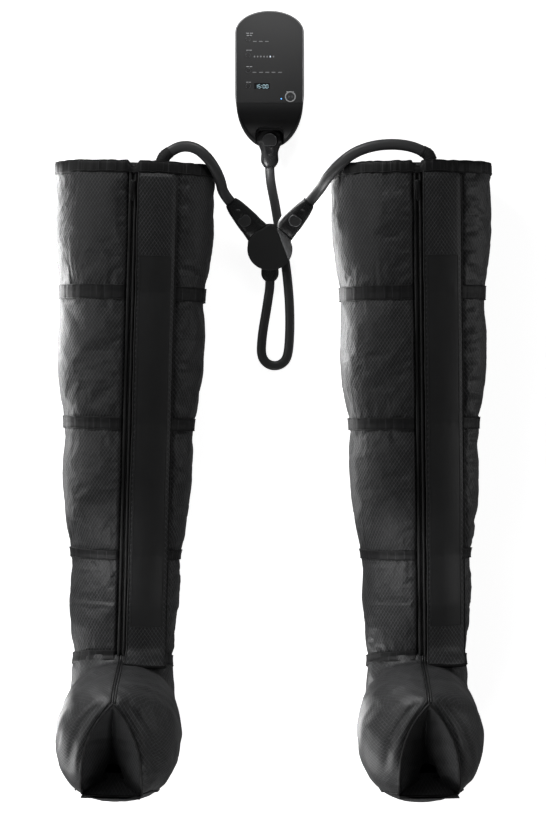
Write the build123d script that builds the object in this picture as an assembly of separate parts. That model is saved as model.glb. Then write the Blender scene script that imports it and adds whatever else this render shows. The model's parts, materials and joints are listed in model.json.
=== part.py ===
from build123d import *
import math
import os

# Dynamic air compression system: pump, hoses, Y splitter and two leg boots, laid flat.
# Millimetres. +Z up from the floor, +Y from the soles to the thighs, +X to the right.
# Everything is laid out about a table origin, then moved by FRAME_X, FRAME_Y so that the
# origin is the middle of the footprint of what isn't hose or plug.

os.makedirs("parts", exist_ok=True)

# ------------------------------------------------------------------ dimensions
FRAME_X, FRAME_Y = 0.843, 19.072      # move of the whole layout in plan

# boots
WALL = 20.0                       # thickness of an inflated chamber's wall
SECTION_N = 2.1                   # exponent of the boots' rounded cross-section
RIM_Y, RIM_CAP = 360.0, 3.0       # chamber's top end, and the rim binding over it
BAND_PROUD = 2.0                  # a seam band stands out of the chambers by this
TOP_H, LOW_H = 150.0, 120.0       # height of a boot on the floor, at the thigh and at the ankle
SEAM_1, SEAM_2, SEAM_3 = 158.5, -46.0, -251.5
ANKLE_T, ANKLE_B = (-408.5, 120.0), (-434.7, -6.0)
HALF_WIDTH = [(366, 125.9), (293, 125.7), (243, 123.8), (205, 119.4), (178, 115.6), (158.5, 115.2),
              (142, 113.9), (110, 114.4), (79, 115.0), (54, 114.4), (16, 110.5), (-9, 107.4),
              (-34, 104.0), (-46, 103.2), (-58, 102.2), (-67, 101.4), (-110, 101.5), (-148, 100.4),
              (-186, 96.6), (-224, 91.0), (-241, 88.6), (-251.5, 87.0), (-262, 85.8), (-294, 85.0),
              (-319, 85.1), (-351, 82.8), (-376, 80.2), (-401, 78.2), (-412, 79.0)]
# foot: level rings from the heel up to the toes (z, sole side y, instep side y, half width)
FOOT = [(-10, -578, -440, 74.0), (30, -604, -432, 84.0), (80, -627, -425, 92.0), (140, -637, -421, 97.0),
        (200, -634, -431, 97.0), (250, -624, -442, 92.5), (297, -606, -460, 78.0)]
FOOT_IN = [(20, -600, -434, 82.0), (80, -627, -425, 92.0), (140, -637, -421, 97.0), (200, -634, -431, 97.0),
           (250, -624, -442, 92.5), (274, -617, -449, 87.0)]
# between the ankle's ring and the foot: instep point (y, z), heel point (y, z), half width
HEEL = [((-440, 134), (-462, -8), 81.5), ((-485, 146), (-505, -8), 84.0)]
TOE_Z = 297.0
TOE_APEX, TOE_BASE, TOE_HALF = -474.0, -592.0, 36.0
ZIP_HALF, ZIP_DEEP = 7.0, 4.0     # groove that holds the zip
FLAP_IN, FLAP_OUT, FLAP_LIFT, FLAP_T = 9.0, 60.0, 3.0, 2.2
# boot: place of its axis at y = 0, turn about Z, zip's place, foot's and toe's sideways offsets, hose exit (x, z)
BOOTS = {"left": (-228.05, -1.585, 1.0, 4.5, 0.5, (46.0, 134.0), 43.0),
         "right": (221.3, 0.749, 6.0, -3.5, 4.0, (24.4, 137.0), -50.0)}

# pump
PUMP_X, PUMP_TOP, PUMP_LOW = -6.6, 599.1, 395.4
PUMP_HALF, PUMP_TOP_R, PUMP_LOW_R = 53.7, 34.1, 74.6
PUMP_BACK, PUMP_SPLIT, PUMP_FACE = 4.0, 62.0, 120.0
PUMP_SKIN = 2.6
PLUG_Z = 40.0                     # height of the supply plug's axis
SOCKET_Y = 420.0                  # where the supply plug's shoulder stops
NOSE_R, NOSE_L = 10.0, 16.0
FIT = 0.06                        # radial clearance of a plug nose in its socket

# splitter
SPLIT_AT, SPLIT_TILT = (-6.2, 235.5, 37.0), 24.0
PUCK_R, PUCK_T = 36.0, 25.0
PORT_TURN, PORT_END, PLUG_END = 39.5, 48.0, 96.5
LEG_NOSE_R = 8.0

# hoses
LEG_HOSE_D, SUPPLY_HOSE_D = 17.0, 15.0
LATCH_TRAVEL = 1.5

parts = {}


# ------------------------------------------------------------------ helpers
def half_width(y):
    """Smooth interpolation of the boot's half width."""
    t = HALF_WIDTH
    if y >= t[0][0]:
        return t[0][1]
    if y <= t[-1][0]:
        return t[-1][1]
    for i in range(len(t) - 1):
        (y0, a0), (y1, a1) = t[i], t[i + 1]
        if y0 >= y >= y1:
            m0 = (t[i + 1][1] - t[i - 1][1]) / (t[i + 1][0] - t[i - 1][0]) if i else (a1 - a0) / (y1 - y0)
            m1 = (t[i + 2][1] - a0) / (t[i + 2][0] - y0) if i + 2 < len(t) else (a1 - a0) / (y1 - y0)
            h = y1 - y0
            s = (y - y0) / h
            return ((2 * s ** 3 - 3 * s ** 2 + 1) * a0 + (s ** 3 - 2 * s ** 2 + s) * h * m0
                    + (-2 * s ** 3 + 3 * s ** 2) * a1 + (s ** 3 - s ** 2) * h * m1)


def ridge_line(y):
    """Height of the straight line that the zip runs along."""
    return TOP_H + (y - 343.0) * (TOP_H - LOW_H) / 753.0


def bulge(y):
    """How far a chamber's top rises above the zip's line between two seams."""
    ends = [RIM_Y + 30, SEAM_1, SEAM_2, SEAM_3, -412.0]
    for a, b in zip(ends, ends[1:]):
        if a >= y >= b:
            return 5.0 * math.sin(math.pi * (a - y) / (a - b))
    return 0.0


def ring_wire(T, B, a, off=0.0, dx=0.0, n=SECTION_N, low=None):
    """Closed rounded section between the top point T and the low point B, given as (y, z)."""
    ty, tz = T
    by, bz = B
    long = math.hypot(ty - by, tz - bz)
    uy, uz = (ty - by) / long, (tz - bz) / long
    cy, cz = (ty + by) / 2, (tz + bz) / 2
    b = long / 2 + off
    a = a + off
    pts = []
    for k in range(20):
        t = 2 * math.pi * k / 20
        c, s = math.cos(t), math.sin(t)
        x = a * math.copysign(abs(c) ** (2 / n), c)
        v = b * math.copysign(abs(s) ** (2 / n), s)
        pts.append((x + dx, cy + v * uy, cz + v * uz))
    return Wire([Spline(*pts, periodic=True).edge()])


def shaft_wire(y, off=0.0, low=-6.0, dx=0.0):
    return ring_wire((y, ridge_line(y) + bulge(y)), (y, low), half_width(y), off, dx)


def loft_of(wires, ruled=False):
    return Solid.make_loft(wires, ruled)


def box_of(x0, x1, y0, y1, z0, z1):
    return Pos((x0 + x1) / 2, (y0 + y1) / 2, (z0 + z1) / 2) * Box(x1 - x0, y1 - y0, z1 - z0)


def bar_along_zip(x0, x1, y0, y1, d0, d1):
    """A straight bar parallel to the zip's line, from d0 to d1 above it."""
    prof = Plane.YZ * Polygon((y0, ridge_line(y0) + d0), (y1, ridge_line(y1) + d0),
                              (y1, ridge_line(y1) + d1), (y0, ridge_line(y0) + d1), align=None)
    return Pos(x0, 0, 0) * extrude(prof, x1 - x0, dir=(1, 0, 0))


def single(shape):
    """The one solid of a result, without crumbs."""
    solids = sorted(shape.solids(), key=lambda s: -s.volume)
    return solids[0]


# ------------------------------------------------------------------ boots
ABOVE_FLOOR = box_of(-300, 300, -800, 500, 0, 400)


def boot(side):
    at_x, turn, zip_dx, foot_dx, toe_dx, exit_xz, exit_turn = BOOTS[side]
    place = Pos(at_x, 0, 0) * Rot(0, 0, turn)
    out = {}
    # chambers of the shaft: outer and inner lofts between the seams
    spans = {"thigh_chamber": [RIM_Y, 330, 293, 243, 205, 178, SEAM_1],
             "knee_chamber": [SEAM_1, 142, 110, 54, 16, -20, SEAM_2],
             "calf_chamber": [SEAM_2, -67, -110, -148, -186, -224, SEAM_3]}
    groove = bar_along_zip(zip_dx - ZIP_HALF, zip_dx + ZIP_HALF, 380, -412, -ZIP_DEEP, 60)
    for name, ys in spans.items():
        outer = loft_of([shaft_wire(y) for y in ys])
        inner = loft_of([shaft_wire(y, -WALL) for y in (ys[0] + 1, ys[3], ys[-1] - 1)])
        out[name] = (outer & ABOVE_FLOOR) - inner - groove
    low = [shaft_wire(y) for y in (SEAM_3, -272, -310, -351)]
    mid = ring_wire((-380, ridge_line(-380) + 2.5), (-393, -6), half_width(-380))
    ankle = ring_wire(ANKLE_T, ANKLE_B, 79.0)
    low_in = [shaft_wire(y, -WALL) for y in (SEAM_3 + 1, -310)]
    low_in.append(ring_wire((-409.5, 120.0), (-435.7, -6), 79.0, -WALL))
    out["ankle_chamber"] = (loft_of(low + [mid, ankle]) & ABOVE_FLOOR) - loft_of(low_in) - groove

    # foot: a column of level rings, joined to the ankle by a short piece of the shaft
    def side_at(z):
        return foot_dx * min(1.0, max(0.0, z / 140)) + (toe_dx - foot_dx) * max(0.0, (z - 200) / 97)

    def level(rows, off=0.0):
        return loft_of([ring_wire((t, z), (b, z), a, off, side_at(z)) for z, b, t, a in rows])

    def link(first, off=0.0):
        rows = [ring_wire(T, B, a, off, foot_dx * (0.3 + 0.2 * i)) for i, (T, B, a) in enumerate(HEEL)]
        return loft_of([first] + rows)

    toe_x = side_at(TOE_Z)
    foot_outer = (level(FOOT) + link(ankle)) & ABOVE_FLOOR
    foot_inner = level(FOOT_IN, -WALL) + link(ring_wire((-407.0, 120.0), (-433.2, -6.0), 79.0, -WALL), -WALL)

    def triangle(z, grow):
        a, b, h = TOE_APEX + grow, TOE_BASE - grow * 0.6, TOE_HALF + grow
        return Plane.XY.offset(z) * Polygon((toe_x, a), (toe_x - h, b), (toe_x + h, b), align=None)

    foot = foot_outer - foot_inner
    foot = foot - extrude(triangle(TOE_Z - 42, 0.0), 60)
    out["foot_chamber"] = foot
    frame = extrude(triangle(TOE_Z, 6.0) - triangle(TOE_Z, 1.4), 3.0)
    out["toe_binding"] = frame

    # rim binding: a sleeve over the top end of the wall, and a flat ring over its end
    above = box_of(-300, 300, -800, 500, 1.0, 400)

    def sleeve(outer_w, inner_w):
        """Thin ring between two lofts; the inner one starts and ends a little outside."""
        return (loft_of(outer_w) - loft_of(inner_w)) & above

    rim = loft_of([shaft_wire(y, BAND_PROUD) for y in (RIM_Y + RIM_CAP, 353, 343)])
    rim = rim - loft_of([shaft_wire(y, 0.4) for y in (RIM_Y, 351, 342)])
    rim = rim - loft_of([shaft_wire(y, -WALL) for y in (RIM_Y + RIM_CAP + 1, RIM_Y - 1)])
    out["rim_binding"] = (rim & above) - groove

    # seam bands between chambers
    bands = []
    for y0, y1 in ((171.3, 145.5), (-35.0, -57.0), (-243.0, -260.0)):
        ym = (y0 + y1) / 2
        bands.append(single(sleeve([shaft_wire(y, BAND_PROUD) for y in (y0, ym, y1)],
                                   [shaft_wire(y, 0.5) for y in (y0 + 0.5, ym, y1 - 0.5)]) - groove))
    ankle_at = [((-400.0, 120.6), (-426.0, -8), 78.9), (ANKLE_T, ANKLE_B, 79.0), ((-417.0, 123.9), (-442.1, -7.0), 79.8)]
    wide_at = [((-399.6, 120.6), (-425.6, -8), 78.9), (ANKLE_T, ANKLE_B, 79.0), ((-417.4, 124.1), (-442.5, -7.1), 79.9)]
    bands.append(single(sleeve([ring_wire(T, B, a, BAND_PROUD) for T, B, a in ankle_at],
                               [ring_wire(T, B, a, 0.5) for T, B, a in wide_at]) - groove))
    out["seam_bands"] = Compound(children=bands)

    # zip: tape in the groove with a bound edge each side, and the slider on the bound edges
    tape = bar_along_zip(zip_dx - ZIP_HALF, zip_dx + ZIP_HALF, 341, -407, -ZIP_DEEP, -2.5)
    for x0, x1 in ((-6.1, -1.6), (1.6, 6.1)):
        tape += bar_along_zip(zip_dx + x0, zip_dx + x1, 341, -407, -2.5, 0.5)
    out["zip_track"] = tape
    slider = bar_along_zip(zip_dx - 4.8, zip_dx + 4.8, 332, 315, 0.8, 3.8)
    slider += bar_along_zip(zip_dx - 1.2, zip_dx + 1.2, 331, 316, -2.2, 0.8)
    slider += bar_along_zip(zip_dx - 1.6, zip_dx + 1.6, 330, 317, 3.8, 5.2)
    pull = bar_along_zip(zip_dx - 3.2, zip_dx + 3.2, 326, 300, 5.2, 6.7)
    pull = fillet(pull.edges().filter_by(Axis.Z, tolerance=5), 2.4)
    out["zip_slider"] = slider + pull

    # flap: a thin sheet over the chambers, from beside the zip to near its sewn edge
    def flap_wire(y):
        h, a = ridge_line(y) + bulge(y), half_width(y)
        b, zc = (h + 6) / 2, (h - 6) / 2

        def z_at(x):
            return zc + b * (1 - min(0.999, abs(x) / a) ** SECTION_N) ** (1 / SECTION_N)

        xs = [zip_dx + FLAP_IN + (FLAP_OUT - FLAP_IN) * k / 5 for k in range(6)]
        low_pts = [(x, y, z_at(x) + FLAP_LIFT) for x in xs]
        high_pts = [(x, y, z_at(x) + FLAP_LIFT + FLAP_T) for x in xs]
        return Wire([Spline(*low_pts).edge(), Line(low_pts[-1], high_pts[-1]).edge(),
                     Spline(*reversed(high_pts)).edge(), Line(high_pts[0], low_pts[0]).edge()])

    out["cover_flap"] = loft_of([flap_wire(y) for y in (341, 310, 270, 230, 195, 158.5, 120, 80, 40, 0, -46, -90, -130,
                                                        -170, -210, -251.5, -290, -330, -370, -404)], True)

    # grommet where the leg hose comes out of the rim's end
    ex, ez = exit_xz
    grommet = Plane(origin=(ex, RIM_Y + RIM_CAP, ez), z_dir=(0, 1, 0)) * Circle(12.5)
    tip = Plane(origin=(ex, RIM_Y + RIM_CAP + 10, ez), z_dir=(0, 1, 0)) * Circle(10.0)
    out["hose_grommet"] = loft(Sketch() + [grommet, tip])
    return {side + "_" + k: place * v for k, v in out.items()}, place


def tube(name, pts, d, end_radii=None):
    """Straight runs joined by tangent arcs, each as large as its runs allow."""
    v = [Vector(*p) for p in pts]
    runs = [(b - a).length for a, b in zip(v, v[1:])]
    radii = []
    for i in range(1, len(v) - 1):
        turn = math.radians((v[i] - v[i - 1]).get_angle(v[i + 1] - v[i]))
        radii.append(0.45 * min(runs[i - 1], runs[i]) / math.tan(turn / 2))
    path = FilletPolyline(*pts, radius=radii)
    disc = Plane(origin=path @ 0, z_dir=path % 0) * Circle(d / 2)
    body = sweep(disc, path=path)
    want = math.pi * d * d / 4 * path.length
    print(name, "length %.1f" % path.length, "runs", [round(r, 1) for r in runs], "radii", [round(r, 1) for r in radii],
          "smallest %.1f" % min(radii), "volume share %.4f" % (body.volume / want))
    return body


# ------------------------------------------------------------------ plugs
def super_face(plane, w, t, n=2.8, k=28):
    pts = []
    for i in range(k):
        u = 2 * math.pi * i / k
        c, s = math.cos(u), math.sin(u)
        pts.append((w / 2 * math.copysign(abs(c) ** (2 / n), c), t / 2 * math.copysign(abs(s) ** (2 / n), s)))
    return Wire([Spline(*[plane.from_local_coords((x, y, 0)) for x, y in pts], periodic=True).edge()])


def across(y, z=0.0):
    """Section plane at y, with local x across and local y up."""
    return Plane(origin=(0, y, z), x_dir=(1, 0, 0), z_dir=(0, -1, 0))


def d_shape(r, flat):
    """Round towards +y, cut flat at -flat."""
    return Circle(r) - Pos(0, -flat - r, 0) * Rectangle(4 * r, 2 * r)


def plug(stations, nose_r, nose_l, latch_y, latch_r, ringed):
    """A plug that points along +y with its shoulder at y = 0. Returns body, latch, seal."""
    body = loft_of([super_face(across(y), w, t) for y, w, t in stations])
    top = max(t for _, _, t in stations) / 2
    # thumb hollow between the latch and the hose
    length = -stations[-1][0]
    scoop = Pos(0, latch_y - latch_r - 6.5, top + 17.2) * Sphere(19.5)
    body = body - scoop
    pocket = Pos(0, latch_y, top - 4.2) * extrude(d_shape(latch_r + 0.45, latch_r * 0.72 + 0.45), 12)
    body = body - pocket
    if ringed:
        # shoulder line
        body = body - (Pos(0, -2.2, 0) * Rot(90, 0, 0) * Cylinder(60, 0.9) - loft_of(
            [super_face(across(y), stations[0][1] - 1.2, stations[0][2] - 1.2) for y in (2, -8)]))
    nose = Pos(0, nose_l / 2, 0) * Rot(90, 0, 0) * Cylinder(nose_r, nose_l)
    groove = Pos(0, nose_l - 6, 0) * Rot(90, 0, 0) * (Cylinder(nose_r + 1, 3) - Cylinder(nose_r - 1.5, 3))
    seal = Pos(0, nose_l - 6, 0) * Rot(90, 0, 0) * (Cylinder(nose_r, 2.9) - Cylinder(nose_r - 1.45, 2.9))
    body = body + nose - groove - Pos(0, nose_l / 2 - 4, 0) * Rot(90, 0, 0) * Cylinder(nose_r * 0.45, nose_l + 8.1)
    latch = Pos(0, latch_y, top - 2.5) * extrude(d_shape(latch_r, latch_r * 0.72), 3.1)
    latch = fillet(latch.faces().sort_by(Axis.Z)[-1].edges(), 0.8)
    return single(body), latch, seal


supply_st = [(0, 23.0, 21.5), (-2.5, 32.0, 24.0), (-7, 38.0, 25.6), (-12, 40.6, 26.0), (-24, 34.5, 25.0), (-44, 28.0, 22.0), (-53, 24.0, 19.5), (-57.6, 18.0, 16.5)]
sp_body, sp_latch, sp_seal = plug(supply_st, NOSE_R, NOSE_L, -17.0, 11.5, False)
at_pump = Pos(PUMP_X, SOCKET_Y, PLUG_Z)
parts["supply_plug_body"] = at_pump * sp_body
parts["supply_plug_latch"] = at_pump * sp_latch
parts["supply_plug_seal"] = at_pump * sp_seal

leg_long = PLUG_END - PORT_END
leg_st = [(0, 35.5, 24.0), (-12, 34.0, 24.0), (-28, 30.0, 22.5), (-42, 25.0, 20.0), (-leg_long, 20.5, 18.2)]
lp_body, lp_latch, lp_seal = plug(leg_st, LEG_NOSE_R, 14.0, -15.0, 10.2, True)

# ------------------------------------------------------------------ splitter
split = Pos(*SPLIT_AT) * Rot(SPLIT_TILT, 0, 0)
cover = Circle(PUCK_R) + Polygon((0, 42.0), (-23.5, 27.0), (23.5, 27.0), align=None)
cover = Pos(0, 0, PUCK_T / 2 - 3.6) * extrude(cover, 3.6)
cover = fillet(cover.faces().sort_by(Axis.Z)[-1].edges(), 1.0)
base = Pos(0, 0, -PUCK_T / 2) * extrude(Circle(PUCK_R - 0.4), PUCK_T - 3.6)
base = fillet(base.faces().sort_by(Axis.Z)[0].edges(), 3.0)
base = base - Pos(0, 0, -PUCK_T / 2 + 2.6) * extrude(Circle(PUCK_R - 3.2), PUCK_T)
ports = Cylinder(22.0, 16.0)
for s in (1, -1):
    turn = Rot(0, 0, s * PORT_TURN)
    stub = loft_of([super_face(across(y), w, t) for y, w, t in
                    ((PORT_END, 35.5, 24.0), (PORT_END - 5, 36.5, 24.4), (36, 38.5, 22.0), (18, 36.0, 17.0))])
    ports = ports + turn * stub
for s in (1, -1):
    turn = Rot(0, 0, s * PORT_TURN)
    ports = ports - turn * Pos(0, PORT_END - 9, 0) * Rot(90, 0, 0) * Cylinder(LEG_NOSE_R + FIT, 18.01)
    ports = ports - turn * Pos(0, PORT_END - 24, 0) * Rot(90, 0, 0) * Cylinder(4.5, 20)
# the ports' tops lie under the cover's point
lid = Circle(PUCK_R + 0.3) + Polygon((0, 42.6), (-24.0, 27.0), (24.0, 27.0), align=None)
ports = ports - Pos(0, 0, PUCK_T / 2 - 3.6) * extrude(lid, 20)
base = base - ports
for s in (1, -1):
    base = base - Rot(0, 0, s * PORT_TURN) * Pos(0, PORT_END - 9, 0) * Rot(90, 0, 0) * Cylinder(LEG_NOSE_R + FIT, 18.01)
collar = loft_of([super_face(across(y), w, t) for y, w, t in
                  ((-PUCK_R + 4.0, 27.5, 15.0), (-PUCK_R - 3, 27.7, 15.5), (-PUCK_R - 14, 26.5, 15.5), (-56.0, 18.5, 15.6))])
collar = collar - base
collar = single(collar - extrude(Circle(PUCK_R), 40, both=True) - cover)
parts["splitter_cover"] = split * cover
parts["splitter_base"] = split * single(base)
parts["splitter_ports"] = split * single(ports)
parts["splitter_collar"] = split * collar
for side, s in (("left", 1), ("right", -1)):
    at = split * Rot(0, 0, s * PORT_TURN) * Pos(0, PORT_END, 0) * Rot(0, 0, 180)
    parts[side + "_plug_body"] = at * lp_body
    parts[side + "_plug_latch"] = at * lp_latch
    parts[side + "_plug_seal"] = at * lp_seal


def split_point(x, y, z=0.0):
    v = (split * Pos(x, y, z)).position
    return (v.X, v.Y, v.Z)


# ------------------------------------------------------------------ hoses
turn = math.radians(PORT_TURN)
left_tail = split_point(-math.sin(turn) * PLUG_END, math.cos(turn) * PLUG_END)
left_next = split_point(-math.sin(turn) * (PLUG_END + 20), math.cos(turn) * (PLUG_END + 20))
right_tail = split_point(math.sin(turn) * PLUG_END, math.cos(turn) * PLUG_END)
right_next = split_point(math.sin(turn) * (PLUG_END + 22), math.cos(turn) * (PLUG_END + 22))
collar_end = split_point(0, -56.0)
collar_next = split_point(0, -68.0)
LEFT_ROUTE = [(-168.5, 371.6, 134.0), (-158.5, 380.0, 134.5), (-140.8, 386.8, 134.5), (-120.5, 383.2, 134.5),
              (-103.0, 368.5, 131.0), (-90.5, 350.5, 115.0), (-83.5, 334.5, 95.5), left_next, left_tail]
RIGHT_ROUTE = [(239.0, 373.4, 137.0), (227.3, 380.5, 138.0), (206.2, 387.0, 138.5), (180.0, 388.8, 138.5),
               (152.0, 385.5, 139.0), (125.5, 376.0, 139.0), (103.0, 359.5, 131.0), (84.5, 340.5, 109.0), right_next, right_tail]
SUPPLY_ROUTE = [collar_end, collar_next, (-8.4, 158.0, 7.8), (-12.5, 132.0, 7.7), (-17.0, 106.0, 7.7), (-19.4, 86.0, 7.7),
                (-20.4, 67.0, 7.7), (-16.2, 54.2, 7.7), (-5.3, 46.3, 7.7), (8.1, 46.3, 7.7), (19.0, 54.2, 7.7),
                (23.2, 67.0, 7.7), (25.0, 86.0, 7.7), (25.9, 112.0, 7.7), (25.3, 145.0, 7.7), (22.6, 180.0, 7.7),
                (18.6, 213.0, 7.7), (12.4, 246.0, 7.7), (6.8, 276.0, 8.6), (2.2, 304.0, 15.0), (-3.0, 328.0, 28.0), (-6.1, 346.0, 38.0), (PUMP_X, SOCKET_Y - 57.6, PLUG_Z)]

parts["left_leg_hose"] = tube("left_leg_hose", LEFT_ROUTE, LEG_HOSE_D)
parts["right_leg_hose"] = tube("right_leg_hose", RIGHT_ROUTE, LEG_HOSE_D)
parts["supply_hose"] = tube("supply_hose", SUPPLY_ROUTE, SUPPLY_HOSE_D)


# ------------------------------------------------------------------ pump
def outline(off=0.0):
    """Plan outline: half an ellipse at the top, straight sides, a longer half ellipse below."""
    yt, yl = PUMP_TOP - PUMP_TOP_R, PUMP_LOW + PUMP_LOW_R
    w = PUMP_HALF + off
    shape = Pos(PUMP_X, (yt + yl) / 2) * Rectangle(2 * w, yt - yl)
    top = Pos(PUMP_X, yt) * Ellipse(w, PUMP_TOP_R + off)
    low = Pos(PUMP_X, yl) * Ellipse(w, PUMP_LOW_R + off)
    return shape + top + low


def chin(off=0.0):
    """What the sloping chin leaves: everything behind a slope that bends back from the face."""
    prof = Plane.YZ * Polygon((700, -10), (700, PUMP_FACE + 10), (452, PUMP_FACE + 10), (452 - off * 0.4, PUMP_FACE - off),
                              (436, 114 - off), (420 + off * 0.4, 101 - off), (405 + off * 0.7, 82 - off), (394, 62 - off * 0.5), (380, 40), (380, -10), align=None)
    return Pos(-100 + PUMP_X, 0, 0) * extrude(prof, 200, dir=(1, 0, 0))


notch = box_of(PUMP_X - 22.5, PUMP_X + 22.5, 370, SOCKET_Y, 24.5, 140)
notch = fillet(notch.edges().filter_by(Axis.Z).group_by(Axis.Y)[-1], 10.0)
notch_wall = box_of(PUMP_X - 25.5, PUMP_X + 25.5, 370, SOCKET_Y + 3, 21.5, 150)
front = extrude(Pos(0, 0, PUMP_SPLIT) * outline(), PUMP_FACE - PUMP_SPLIT)
front = fillet(front.faces().sort_by(Axis.Z)[-1].edges(), 2.0)
front = front & chin()
hollow = extrude(Pos(0, 0, PUMP_BACK + PUMP_SKIN) * outline(-PUMP_SKIN), PUMP_FACE - 4.2 - PUMP_BACK - PUMP_SKIN)
hollow = (hollow & chin(3.2)) - notch_wall
front = front - hollow - notch
rear = extrude(Pos(0, 0, PUMP_BACK) * outline(), PUMP_SPLIT - PUMP_BACK)
rear = fillet(rear.faces().sort_by(Axis.Z)[0].edges(), 4.0)
rear = rear - hollow - notch
# face panel in a shallow seat
panel = extrude(Pos(0, 0, PUMP_FACE - 1.6) * outline(-2.4), 1.6) & box_of(-100, 100, 455, 700, 0, 200)
seat = extrude(Pos(0, 0, PUMP_FACE - 1.6) * outline(-2.3), 5) & box_of(-100, 100, 454.9, 700, 0, 200)
front = front - seat
BUTTONS = {"program_button": (-40.0, 554.6), "zone_button": (-40.0, 529.6), "level_button": (-40.0, 505.4), "time_button": (-40.0, 481.2)}
START = (25.9, 461.5 + 3.0)
for name, (bx, by) in BUTTONS.items():
    hole = Pos(bx, by, PUMP_FACE - 4) * Cylinder(4.3, 20)
    panel, front = panel - hole, front - hole
    cap = Pos(bx, by, PUMP_FACE - 2.5) * Cylinder(4.0, 5.2)
    cap = fillet(cap.faces().sort_by(Axis.Z)[-1].edges(), 0.3)
    parts["pump_" + name] = cap + Pos(bx, by, PUMP_FACE - 6.0) * Cylinder(2.4, 4.0)
hole = Pos(START[0], START[1], PUMP_FACE - 4) * Cylinder(8.6, 20)
panel, front = panel - hole, front - hole
ring = Pos(START[0], START[1], PUMP_FACE - 2.0) * (Cylinder(8.5, 4.8) - Cylinder(6.7, 4.8))
ring = fillet(ring.faces().sort_by(Axis.Z)[-1].edges(), 0.4)
parts["pump_start_ring"] = ring
cap = Pos(START[0], START[1], PUMP_FACE - 2.4) * Cylinder(6.4, 4.8)
cap = fillet(cap.faces().sort_by(Axis.Z)[-1].edges(), 0.5)
parts["pump_start_button"] = cap + Pos(START[0], START[1], PUMP_FACE - 6.2) * Cylinder(3.0, 4.0)
window = (-30.5, -6.5, 476.4, 485.8)
wcut = box_of(window[0], window[1], window[2], window[3], PUMP_FACE - 12, PUMP_FACE + 5)
panel, front = panel - wcut, front - wcut
parts["pump_display_window"] = box_of(window[0] + 0.1, window[1] - 0.1, window[2] + 0.1, window[3] - 0.1, PUMP_FACE - 3.4, PUMP_FACE)
parts["pump_face_panel"] = single(panel)

# power button on the right-hand side, and the charging jack in the top end
POWER = (PUMP_X + PUMP_HALF, 545.0, 40.0)
pcut = Pos(*POWER) * Rot(0, 90, 0) * Cylinder(6.3, 12)
rear = rear - pcut
power = Pos(POWER[0] - 2.4, POWER[1], POWER[2]) * Rot(0, 90, 0) * Cylinder(6.0, 6.6)
power = fillet(power.faces().sort_by(Axis.X)[-1].edges(), 0.6)
parts["pump_power_button"] = power
JACK_Z, JACK_R = 30.0, 2.8
jcut = Pos(PUMP_X, PUMP_TOP - 5, JACK_Z) * Rot(90, 0, 0) * Cylinder(6.0, 30)
rear = rear - jcut
jack = Pos(PUMP_X, PUMP_TOP - 8.2, JACK_Z) * Rot(90, 0, 0) * (Cylinder(5.9, 14.0) - Pos(0, 0, -3.0) * Cylinder(JACK_R, 14.0))
parts["pump_charge_jack"] = jack
parts["pump_front_shell"] = single(front)

# air socket behind the notch
scut = Pos(PUMP_X, SOCKET_Y + 1, PLUG_Z) * Rot(90, 0, 0) * Cylinder(13.0, 8)
rear = rear - scut
sock = Pos(PUMP_X, SOCKET_Y + 11, PLUG_Z) * Rot(90, 0, 0) * Cylinder(12.9, 22)
sock = sock + Pos(PUMP_X, SOCKET_Y + 12.5, PLUG_Z) * Rot(90, 0, 0) * Cylinder(16.0, 18.6)
sock = sock - Pos(PUMP_X, SOCKET_Y + 9, PLUG_Z) * Rot(90, 0, 0) * Cylinder(NOSE_R + FIT, 18.01)
sock = sock - Pos(PUMP_X, SOCKET_Y + 20, PLUG_Z) * Rot(90, 0, 0) * Cylinder(4.0, 12)
parts["pump_air_socket"] = sock

# inside
parts["pump_circuit_board"] = box_of(PUMP_X - 46, PUMP_X + 46, 462, 572, 102.0, 103.6)
batt = box_of(PUMP_X - 40, PUMP_X + 40, 535, 580, 13.5, 53.5)
parts["pump_battery_pack"] = fillet(batt.edges().filter_by(Axis.Y), 5)
comp = Pos(PUMP_X - 12, 498, 40) * Rot(0, 90, 0) * Cylinder(24, 44)
comp = comp + Pos(PUMP_X + 22, 498, 40) * Rot(0, 90, 0) * Cylinder(17, 26)
parts["pump_compressor"] = comp
valve = box_of(PUMP_X - 30, PUMP_X + 30, 444.5, 470, 24, 56)
for k in range(4):
    valve = valve + Pos(PUMP_X - 21 + 14 * k, 457, 60) * Cylinder(5, 12)
parts["pump_valve_block"] = valve

# screws up through the rear shell, and rubber feet over them
SCREWS = [(PUMP_X + sx, sy) for sx, sy in ((-40, 566), (40, 566), (-45, 488), (45, 488))]
screws, feet = [], []
for x, y in SCREWS:
    rear = rear - Pos(x, y, PUMP_BACK + 1.3) * Cylinder(2.05, 8) - Pos(x, y, PUMP_BACK) * Cylinder(3.1, 3.0)
    screws.append(Pos(x, y, PUMP_BACK + 4.9) * Cylinder(2.0, 7.0) + Pos(x, y, PUMP_BACK + 0.75) * Cylinder(3.0, 1.3))
for x, y in ((PUMP_X - 28, 581), (PUMP_X + 28, 581), (PUMP_X - 36, 434), (PUMP_X + 36, 434)):
    foot = Pos(x, y, PUMP_BACK / 2) * Cylinder(8.0, PUMP_BACK)
    foot = fillet(foot.faces().sort_by(Axis.Z)[0].edges(), 1.0)
    feet.append(foot)
parts["pump_rear_shell"] = single(rear)
parts["pump_case_screws"] = Compound(children=[single(s) for s in screws])
parts["pump_rubber_feet"] = Compound(children=[single(f) for f in feet])

# ------------------------------------------------------------------ boots' parts
for side in ("left", "right"):
    made, place = boot(side)
    parts.update(made)

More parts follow.
